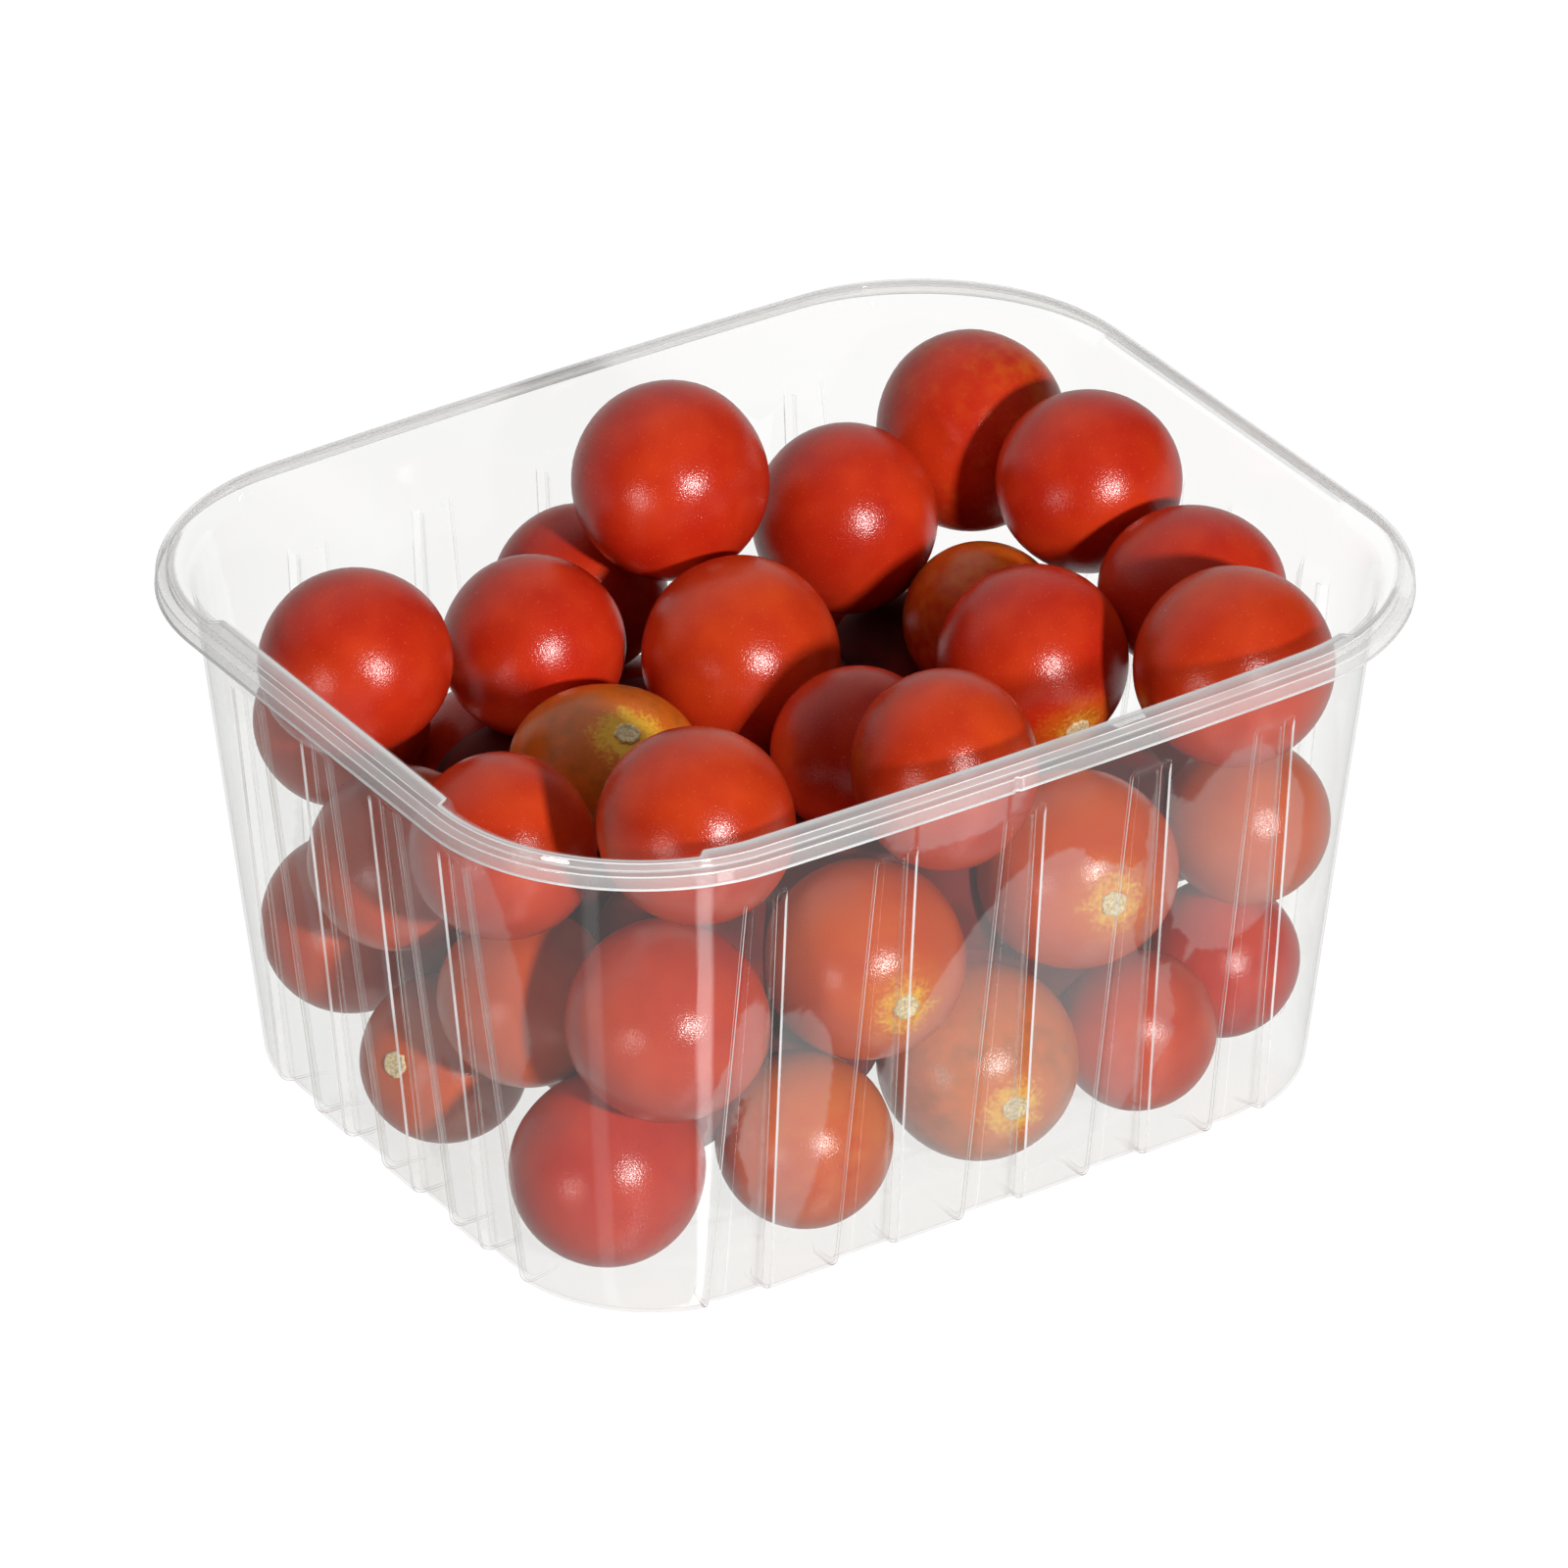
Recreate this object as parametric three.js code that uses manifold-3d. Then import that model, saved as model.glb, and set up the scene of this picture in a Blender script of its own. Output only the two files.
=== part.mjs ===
// A clear plastic punnet heaped with cherry tomatoes.
//
// Millimetres, +Z up. The tub stands on z = 0 with its middle over the origin, its long
// walls facing -Y and +Y. The tub is one thin moulded shell. The tomatoes only lie in it,
// so they are one heap: a packed core with every tomato fused on at its true size.

import * as THREE from "three";
import { mergeVertices } from "three/addons/utils/BufferGeometryUtils.js";
import Module from "manifold-3d";

const wasm = await Module();
wasm.setup();

// ---- Tub: driving dimensions ----
const RIM_HALF_LENGTH = 71.5;
const RIM_HALF_WIDTH = 58.2;
const RIM_CORNER = 30;
const TUB_HEIGHT = 73;
const BASE_HALF_LENGTH = 59.3;
const BASE_HALF_WIDTH = 47.8;
const BASE_CORNER = 22;
const LONG_WALL_BOW = 1.8; // how far the long sides swell out at the middle of the rim
const BOW_FADE = 4; // power of the cosine that ends the bow round a corner
const WALL = 0.6;
const BASE_EDGE = 1.5; // round between wall and floor
const ROUND_MIDDLE = 0.3; // of a round's radius, to where its middle facet line lies

// The rim: a flat flange, a small step down to a ledge, and a short skirt turned down.
const RIM_WIDTH = 4.4; // wall to outermost edge
const FLANGE_WIDTH = 3;
const STEP_DROP = 1;
const STEP_SLOPE = 0.3;
const SKIRT_DROP = 3;
const SKIRT_FLARE = 0.3; // the skirt's foot stands out past its top
const LIP_ROUND = 0.8;
const LEDGE_ROUND = 0.4;

// Shallow upright grooves in the walls, which widen downwards.
const GROOVE_DEPTH = 1.1;
const GROOVE_SLOPE = 0.7; // width of a groove's slanted flank
const GROOVE_HALF_TOP = 2.8;
const GROOVE_HALF_BASE = 4.8;
const GROOVE_FOOT = 61.5; // full depth below this height
const GROOVE_HEAD = 63.5; // and nothing above this one
const LONG_WALL_GROOVES = { count: 5, pitch: 19.2 };
const SHORT_WALL_GROOVES = { count: 4, pitch: 16.2 };
const CORNER_STEPS = 4; // facets from the last groove to the middle of a corner

// ---- Tomatoes: driving dimensions ----
const TOMATO_WALL_GAP = 1.3; // outer face of the tub's wall to the nearest skin
const TOMATO_FLOOR_GAP = 0.8;
const HEAP_CLEARANCE = 0.35; // kept between the heap's solid and the tub's
const TOMATO_FACETS = 2; // splits of each icosahedron edge
const HIDDEN_TOMATO_FACETS = 1;

// Tomatoes that show, as they lie: middle x, y, z, width, and height over width.
const PLACED = [
  // on the floor, along the front and up the left wall
  [-47, -30, 13, 25, 1],
  [-21, -37, 12, 23, 1],
  [7, -35, 14, 26, 1],
  [30, -37, 12, 21, 1],
  [48, -29, 12, 21, 1],
  [-49, 6, 12, 22, 1],
  [-47, 30, 20, 24, 1],
  // second layer
  [-42, -36, 36, 26, 1],
  [-12, -36, 36, 26, 1],
  [20, -37, 39, 26, 1],
  [48, -35, 36, 22, 1],
  [-47, -12, 30, 23, 1],
  [-50, 13, 39, 24, 1],
  [-43, 38, 45, 23, 1],
  // top layer, front to back
  [-39, -39, 66, 25, 1],
  [-2, -39, 62, 24, 1.1],
  [44, -38, 62, 26, 0.98],
  [-51, -13, 54, 24, 1],
  [-1, -18, 54, 22, 1],
  [30, -14, 56, 24, 1],
  [53, -16, 60, 24, 0.85],
  [-27, 1, 52, 25, 0.75],
  [-3, 6, 57, 26, 1],
  [36, 8, 49, 21, 1],
  [53, 8, 64, 23, 0.95],
  [-52, 20, 65, 25, 0.95],
  [-23, 23, 56, 24, 1],
  [28, 27, 58, 23, 1.03],
  [51, 32, 61, 24, 1.1],
  [-6, 39, 52, 23, 1],
  // the one on top
  [0, 27, 72, 26, 1],
];

// Tomatoes hidden inside fill what room is left, row over row.
const FILL_LAYERS = 3;
const FILL_RISE = 20;
const FILL_PITCH = 24;
const FILL_START = 13;
const FILL_ROW_PITCH = 0.87; // of the pitch along a row
const FILL_ROW_SHIFT = 0.3; // of the pitch, on every other layer
const FILL_ROWS = 2; // rows either side of the middle one
const FILL_COLUMNS = 3;
const FILL_SHAKE = 3;
const FILL_NARROWEST = 22;
const FILL_WIDEST = 26;
const FILL_SNUG = 0.86; // a newcomer may cross a neighbour this much before settling
const FILL_REACH = 3; // how far past the wall a newcomer may start
const SETTLE_ROUNDS = 120;
const SETTLE_SINK = 0.1;
const SETTLE_HOLD = 0.2;
const PLACED_SHARE = 0.1; // of a push between a placed tomato and a loose one
const CORE_INSET = 12;
const CORE_BOTTOM = 6;
const CORE_TOP = 40;
const PEG_RADIUS = 4;
const PEG_LEAN = 0.08; // of a tomato's distance from the middle, towards it
const PEG_SIDES = 6;
const SEED = 7;

const AXES = ["x", "y", "z"];
const lerp = THREE.MathUtils.lerp;

/** A small repeatable random source, 0 to 1: Lehmer's rule. */
function seededRandom(seed) {
  const multiplier = 16807;
  const prime = 2 ** 31 - 1;
  let state = seed;
  return () => {
    state = (state * multiplier) % prime;
    return state / prime;
  };
}

// ---- Tub outline ----

/** Half sizes, corner radius and bow of the wall's outer face at a height. */
function wallAt(z) {
  const share = z / TUB_HEIGHT;
  return {
    halfX: lerp(BASE_HALF_LENGTH, RIM_HALF_LENGTH - RIM_WIDTH, share),
    halfY: lerp(BASE_HALF_WIDTH, RIM_HALF_WIDTH - RIM_WIDTH, share),
    corner: lerp(BASE_CORNER, RIM_CORNER - RIM_WIDTH, share),
    bow: LONG_WALL_BOW * share,
  };
}

/**
 * The upright lines that the shell's facets hang on, once round the tub. Each has the wall
 * it is on (0 to 3, counter-clockwise from +X), how far it is in a groove, and `along`, its
 * distance from the middle of that wall at a height, measured round the corner if need be.
 */
function shellLines() {
  const lines = [];
  for (let side = 0; side < 4; side += 1) {
    const { count, pitch } = side % 2 ? LONG_WALL_GROOVES : SHORT_WALL_GROOVES;
    const grooveHalf = (z) => lerp(GROOVE_HALF_BASE, GROOVE_HALF_TOP, z / TUB_HEIGHT);
    const lastMiddle = ((count - 1) / 2) * pitch;
    const lastEdge = (z) => lastMiddle + grooveHalf(z);
    const reach = (z) => {
      const { halfX, halfY, corner } = wallAt(z);
      return (side % 2 ? halfX : halfY) - corner + (corner * Math.PI) / 4;
    };
    const toCorner = (share, sign) => (z) => sign * lerp(lastEdge(z), reach(z), share);
    for (let step = 0; step < CORNER_STEPS; step += 1) {
      lines.push({ side, depth: 0, along: toCorner(1 - step / CORNER_STEPS, -1) });
    }
    for (let groove = 0; groove < count; groove += 1) {
      const middle = groove * pitch - lastMiddle;
      const edge = (sign, inner) => (z) => middle + sign * (grooveHalf(z) - inner * GROOVE_SLOPE);
      lines.push({ side, depth: 0, along: edge(-1, 0) });
      lines.push({ side, depth: 1, along: edge(-1, 1) });
      lines.push({ side, depth: 1, along: edge(1, 1) });
      lines.push({ side, depth: 0, along: edge(1, 0) });
    }
    for (let step = 1; step < CORNER_STEPS; step += 1) {
      lines.push({ side, depth: 0, along: toCorner(step / CORNER_STEPS, 1) });
    }
  }
  return lines;
}

const SHELL_LINES = shellLines();

/** The point of a shell line at height z, `inset` inside the wall's outer face. */
function shellPoint(line, inset, z, grooved) {
  const { halfX, halfY, corner, bow } = wallAt(z);
  const onLongWall = line.side % 2 === 1;
  const halfAlong = onLongWall ? halfX : halfY;
  const halfOut = onLongWall ? halfY : halfX;
  const straight = halfAlong - corner;
  const along = line.along(z);
  const turn = Math.max(Math.abs(along) - straight, 0) / corner;
  const radius = corner - inset;
  const depth = line.depth * grooved * GROOVE_DEPTH;
  const across = Math.sign(along) * (Math.min(Math.abs(along), straight) + radius * Math.sin(turn));
  let out = halfOut - corner + radius * Math.cos(turn) - depth;
  if (onLongWall) out += bow * (1 - (across / halfX) ** 2) * Math.cos(turn) ** BOW_FADE;
  const angle = (line.side * Math.PI) / 2;
  const x = out * Math.cos(angle) - across * Math.sin(angle);
  const y = out * Math.sin(angle) + across * Math.cos(angle);
  return [x, y, z];
}

/**
 * A closed solid from a section: rows of [inset, z, groove share], with a null inset on the
 * upright axis. The section is lathed and then stretched onto the tub's outline.
 */
function tubSolid(section) {
  const profile = section.map(([inset, z]) => new THREE.Vector2(inset === null ? 0 : 1, z));
  const geometry = new THREE.LatheGeometry(profile, SHELL_LINES.length);
  const position = geometry.attributes.position;
  for (let vertex = 0; vertex < position.count; vertex += 1) {
    const line = SHELL_LINES[Math.floor(vertex / section.length) % SHELL_LINES.length];
    const [inset, z, grooved] = section[vertex % section.length];
    const point = inset === null ? [0, 0, z] : shellPoint(line, inset, z, grooved);
    position.setXYZ(vertex, ...point);
  }
  return toSolid(geometry);
}

// ---- Solids ----

/** Closed three.js geometry to a solid, with its corners merged and flat facets dropped. */
function toSolid(geometry) {
  geometry.deleteAttribute("normal");
  geometry.deleteAttribute("uv");
  const merged = mergeVertices(geometry, 1e-5);
  const index = merged.index.array;
  const triangles = [];
  for (let i = 0; i < index.length; i += 3) {
    const [a, b, c] = [index[i], index[i + 1], index[i + 2]];
    if (a !== b && b !== c && c !== a) triangles.push(a, b, c);
  }
  return new wasm.Manifold(new wasm.Mesh({
    numProp: 3,
    vertProperties: Float32Array.from(merged.attributes.position.array),
    triVerts: Uint32Array.from(triangles),
  }));
}

/** The largest closed shell of a solid, so that sealed hollows are filled. */
function outerShell(solid) {
  const { vertProperties, triVerts } = solid.getMesh();
  const parent = Array.from({ length: vertProperties.length / 3 }, (_, i) => i);
  const rootOf = (i) => {
    while (parent[i] !== i) {
      parent[i] = parent[parent[i]];
      i = parent[i];
    }
    return i;
  };
  for (let i = 0; i < triVerts.length; i += 3) {
    parent[rootOf(triVerts[i + 1])] = rootOf(triVerts[i]);
    parent[rootOf(triVerts[i + 2])] = rootOf(triVerts[i]);
  }
  const shells = new Map();
  for (let i = 0; i < triVerts.length; i += 3) {
    const root = rootOf(triVerts[i]);
    if (!shells.has(root)) shells.set(root, []);
    shells.get(root).push(triVerts[i], triVerts[i + 1], triVerts[i + 2]);
  }
  const largest = [...shells.values()].reduce((a, b) => (b.length > a.length ? b : a));
  const geometry = new THREE.BufferGeometry();
  geometry.setAttribute("position", new THREE.BufferAttribute(vertProperties, 3));
  geometry.setIndex(largest);
  return geometry;
}

/** A named mesh in the colour and finish of its material. */
function namedMesh(name, geometry, finish) {
  const mesh = new THREE.Mesh(geometry, new THREE.MeshStandardMaterial(finish));
  mesh.name = name;
  return mesh;
}

// ---- The tub ----

/** The moulded shell: its outer form less its inner one. */
function makePunnet() {
  const top = TUB_HEIGHT;
  const flangeUnder = top - WALL;
  const ledge = top - STEP_DROP;
  const skirtFoot = top - SKIRT_DROP;
  const outer = tubSolid([
    [null, 0, 0],
    [BASE_EDGE, 0, 1],
    [ROUND_MIDDLE * BASE_EDGE, ROUND_MIDDLE * BASE_EDGE, 1],
    [0, BASE_EDGE, 1],
    [0, GROOVE_FOOT, 1],
    [0, GROOVE_HEAD, 0],
    [0, flangeUnder, 0],
    [WALL - FLANGE_WIDTH, flangeUnder, 0],
    [-FLANGE_WIDTH, ledge - WALL, 0],
    [WALL - RIM_WIDTH, ledge - WALL, 0],
    [WALL - RIM_WIDTH - SKIRT_FLARE, skirtFoot, 0],
    [-RIM_WIDTH - SKIRT_FLARE, skirtFoot, 0],
    [-RIM_WIDTH, ledge - LEDGE_ROUND, 0],
    [LEDGE_ROUND - RIM_WIDTH, ledge, 0],
    [-FLANGE_WIDTH, ledge, 0],
    [STEP_SLOPE - FLANGE_WIDTH, top, 0],
    [null, top, 0],
  ]);
  const inner = tubSolid([
    [null, WALL, 0],
    [WALL + BASE_EDGE, WALL, 1],
    [WALL + ROUND_MIDDLE * BASE_EDGE, WALL + ROUND_MIDDLE * BASE_EDGE, 1],
    [WALL, WALL + BASE_EDGE, 1],
    [WALL, GROOVE_FOOT, 1],
    [WALL, GROOVE_HEAD, 0],
    [WALL, top - LIP_ROUND, 0],
    [WALL - ROUND_MIDDLE * LIP_ROUND, top - ROUND_MIDDLE * LIP_ROUND, 0],
    [WALL - LIP_ROUND, top, 0],
    [WALL - LIP_ROUND, top + 1, 0],
    [null, top + 1, 0],
  ]);
  return outer.subtract(inner);
}

// ---- The tomatoes ----

/** Moves a tomato in until it lies clear of the tub's walls and floor. */
function confine(tomato) {
  const radius = tomato.width / 2;
  tomato.z = Math.max(tomato.z, radius + TOMATO_FLOOR_GAP);
  const { halfX, halfY, corner } = wallAt(tomato.z);
  const room = corner - TOMATO_WALL_GAP - radius;
  const turnX = halfX - corner;
  const turnY = halfY - corner;
  const pastX = Math.max(Math.abs(tomato.x) - turnX, 0);
  const pastY = Math.max(Math.abs(tomato.y) - turnY, 0);
  const past = Math.hypot(pastX, pastY);
  if (past <= room) return;
  if (pastX > 0) tomato.x = Math.sign(tomato.x) * (turnX + (pastX * room) / past);
  if (pastY > 0) tomato.y = Math.sign(tomato.y) * (turnY + (pastY * room) / past);
}

/** How far apart two tomatoes' middles are. */
function distance(a, b) {
  return Math.hypot(a.x - b.x, a.y - b.y, a.z - b.z);
}

/** Tomatoes for the room that the placed ones leave, layer by layer. */
function pourRest(placed) {
  const random = seededRandom(SEED);
  const poured = [];
  for (let layer = 0; layer < FILL_LAYERS; layer += 1) {
    for (let row = -FILL_ROWS; row <= FILL_ROWS; row += 1) {
      for (let column = -FILL_COLUMNS; column <= FILL_COLUMNS; column += 1) {
        const odd = Math.abs(row + layer) % 2;
        const x = FILL_PITCH * (column + odd / 2) + (random() - 0.5) * FILL_SHAKE;
        const across = FILL_ROW_PITCH * row + FILL_ROW_SHIFT * (layer % 2);
        const y = FILL_PITCH * across + (random() - 0.5) * FILL_SHAKE;
        const z = FILL_START + FILL_RISE * layer;
        const width = lerp(FILL_NARROWEST, FILL_WIDEST, random());
        const { halfX, halfY } = wallAt(z);
        const tooFarX = Math.abs(x) > halfX - width / 2 + FILL_REACH;
        const tooFarY = Math.abs(y) > halfY - width / 2 + FILL_REACH;
        const tomato = { x, y, z, width, tall: 1, shows: false };
        confine(tomato);
        const near = (other) => distance(tomato, other) < (FILL_SNUG * (width + other.width)) / 2;
        if (!tooFarX && !tooFarY && ![...placed, ...poured].some(near)) poured.push(tomato);
      }
    }
  }
  return poured;
}

/** Pushes two crossing tomatoes apart; a placed one gives way least. */
function pushApart(a, b) {
  const gap = distance(a, b);
  const crossing = (a.width + b.width) / 2 - gap;
  if (crossing <= 0) return;
  const even = a.shows === b.shows;
  const shareOfB = even ? 0.5 : b.shows ? PLACED_SHARE : 1 - PLACED_SHARE;
  for (const axis of AXES) {
    const push = ((b[axis] - a[axis]) / gap) * crossing;
    a[axis] -= push * (1 - shareOfB);
    b[axis] += push * shareOfB;
  }
}

/** Lets the loose tomatoes sink and roll until they rest against each other. */
function settle(tomatoes) {
  const home = tomatoes.map((tomato) => ({ ...tomato }));
  for (let round = 0; round < SETTLE_ROUNDS; round += 1) {
    tomatoes.forEach((tomato, i) => {
      if (tomato.shows) {
        for (const axis of AXES) tomato[axis] += SETTLE_HOLD * (home[i][axis] - tomato[axis]);
      } else {
        tomato.z -= SETTLE_SINK;
      }
    });
    for (let i = 0; i < tomatoes.length; i += 1) {
      for (let j = i + 1; j < tomatoes.length; j += 1) pushApart(tomatoes[i], tomatoes[j]);
    }
    tomatoes.forEach(confine);
  }
}

/** Every tomato of the heap, where it has come to rest. */
function layTomatoes() {
  const placed = PLACED.map(([x, y, z, width, tall]) => ({ x, y, z, width, tall, shows: true }));
  const tomatoes = [...placed, ...pourRest(placed)];
  settle(tomatoes);
  return tomatoes;
}

/** One tomato as a round of few facets. */
function tomatoSolid({ x, y, z, width, tall, shows }) {
  const facets = shows ? TOMATO_FACETS : HIDDEN_TOMATO_FACETS;
  const ball = new THREE.IcosahedronGeometry(width / 2, facets);
  ball.scale(1, 1, tall);
  ball.translate(x, y, z);
  return toSolid(ball);
}

/** A short peg from the core up to the middle of a tomato that lies above it. */
function pegSolid({ x, y, z }) {
  const foot = CORE_TOP - PEG_RADIUS;
  const peg = new THREE.CylinderGeometry(PEG_RADIUS, PEG_RADIUS, z - foot, PEG_SIDES);
  peg.rotateX(Math.PI / 2);
  peg.translate(lerp(x, 0, PEG_LEAN), lerp(y, 0, PEG_LEAN), (z + foot) / 2);
  return toSolid(peg);
}

/** The tomatoes fused on their packed core, trimmed clear of the tub. */
function makeHeap() {
  const core = tubSolid([
    [null, CORE_BOTTOM, 0],
    [CORE_INSET, CORE_BOTTOM, 0],
    [CORE_INSET, CORE_TOP, 0],
    [null, CORE_TOP, 0],
  ]);
  const clear = WALL + HEAP_CLEARANCE;
  const room = tubSolid([
    [null, clear, 0],
    [BASE_EDGE + clear, clear, 1],
    [clear, clear + BASE_EDGE, 1],
    [clear, GROOVE_FOOT, 1],
    [clear, GROOVE_HEAD, 0],
    [clear, 2 * TUB_HEIGHT, 0],
    [null, 2 * TUB_HEIGHT, 0],
  ]);
  const tomatoes = layTomatoes();
  let heap = core;
  for (const tomato of tomatoes) {
    if (tomato.z > CORE_TOP) heap = heap.add(pegSolid(tomato));
    heap = heap.add(tomatoSolid(tomato));
  }
  return outerShell(heap.intersect(room));
}

const group = new THREE.Group();
group.name = "punnet_of_cherry_tomatoes";
group.add(namedMesh("punnet", outerShell(makePunnet()), {
  color: "#eef2f0",
  roughness: 0.08,
  metalness: 0,
  transparent: true,
  opacity: 0.3,
}));
group.add(namedMesh("tomato_heap", makeHeap(), {
  color: "#b52a12",
  roughness: 0.28,
  metalness: 0,
}));

export default group;
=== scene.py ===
"""A clear plastic punnet heaped with cherry tomatoes.

Sizes in the classes are in millimetres, as a maker would give them, and the meshes are
made in metres. The punnet stands on z = 0 with its long walls facing -Y and +Y.
"""

import logging
import math
from dataclasses import dataclass, field
from enum import Enum, IntEnum

import bmesh
import bpy
from mathutils import Matrix, Vector, noise


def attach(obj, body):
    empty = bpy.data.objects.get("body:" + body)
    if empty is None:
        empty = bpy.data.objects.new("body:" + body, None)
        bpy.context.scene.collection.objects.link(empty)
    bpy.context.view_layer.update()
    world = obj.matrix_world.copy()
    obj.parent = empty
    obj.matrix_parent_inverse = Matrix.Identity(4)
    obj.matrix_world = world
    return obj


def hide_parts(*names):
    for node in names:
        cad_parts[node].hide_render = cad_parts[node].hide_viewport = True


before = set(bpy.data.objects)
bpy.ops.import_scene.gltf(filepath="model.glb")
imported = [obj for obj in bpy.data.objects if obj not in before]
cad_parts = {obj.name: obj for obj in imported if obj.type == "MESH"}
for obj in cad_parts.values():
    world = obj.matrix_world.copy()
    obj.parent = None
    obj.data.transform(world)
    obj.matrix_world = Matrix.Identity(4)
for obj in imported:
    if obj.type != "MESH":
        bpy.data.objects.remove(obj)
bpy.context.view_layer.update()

LOG = logging.getLogger("punnet")
MM = 0.001
BODY = "root"


def lerp(start: float, end: float, share: float) -> float:
    """The value that lies `share` of the way from start to end."""
    return start + (end - start) * share


def smooth_share(value: float, start: float, end: float) -> float:
    """0 before start, 1 past end, and an S curve between them."""
    share = min(max((value - start) / (end - start), 0.0), 1.0)
    return share * share * (3 - 2 * share)


@dataclass
class Chance:
    """A small repeatable random source, 0 to 1, by Lehmer's rule."""

    state: int
    multiplier: int = 16807
    prime: int = 2**31 - 1

    def draw(self) -> float:
        """The next number from 0 to 1."""
        self.state = (self.state * self.multiplier) % self.prime
        return self.state / self.prime

    def spread(self, width: float) -> float:
        """The next number from -width to width."""
        return (2 * self.draw() - 1) * width

    def direction(self) -> Vector:
        """Draws a direction, evenly spread over the sphere.

        Returns:
            The direction, of length 1.
        """
        height = self.spread(1)
        turn = self.draw() * math.tau
        across = math.sqrt(1 - height * height)
        return Vector((across * math.cos(turn), across * math.sin(turn), height))


# ---- Shader writing ----


class Wire:
    """An output socket that takes part in arithmetic: each operator adds its Math node."""

    def __init__(self, shader: "Shader", socket: bpy.types.NodeSocket) -> None:
        """Keeps the socket and the shader that it belongs to."""
        self.shader = shader
        self.socket = socket

    def _math(self, operation: str, *operands: "Wire | float") -> "Wire":
        """One Math node over the operands, in their order."""
        values = dict(enumerate(operands))
        return self.shader.node("Math", {"operation": operation}, values)

    def __add__(self, other: "Wire | float") -> "Wire":
        """self + other."""
        return self._math("ADD", self, other)

    __radd__ = __add__

    def __sub__(self, other: "Wire | float") -> "Wire":
        """self - other."""
        return self._math("SUBTRACT", self, other)

    def __rsub__(self, other: "Wire | float") -> "Wire":
        """other - self."""
        return self._math("SUBTRACT", other, self)

    def __mul__(self, other: "Wire | float") -> "Wire":
        """self * other."""
        return self._math("MULTIPLY", self, other)

    def __pow__(self, other: "Wire | float") -> "Wire":
        """self to the power of other."""
        return self._math("POWER", self, other)

    def least(self, other: "Wire | float") -> "Wire":
        """The smaller of self and other."""
        return self._math("MINIMUM", self, other)

    def most(self, other: "Wire | float") -> "Wire":
        """The larger of self and other."""
        return self._math("MAXIMUM", self, other)

    def step(self, start: float, end: float) -> "Wire":
        """0 before start, 1 past end, and an S curve between them.

        Args:
            start: where the curve leaves 0; larger than end for a falling curve.
            end: where it reaches 1.

        Returns:
            The curve's value.
        """
        settings = {"interpolation_type": "SMOOTHSTEP"}
        low, high = min(start, end), max(start, end)
        ends = (0.0, 1.0) if end > start else (1.0, 0.0)
        values = {"Value": self, "From Min": low, "From Max": high}
        values.update({"To Min": ends[0], "To Max": ends[1]})
        return self.shader.node("MapRange", settings, values)


Colour = tuple[float, float, float]
Input = Wire | float | Colour
WHITE: Colour = (1.0, 1.0, 1.0)


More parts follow.
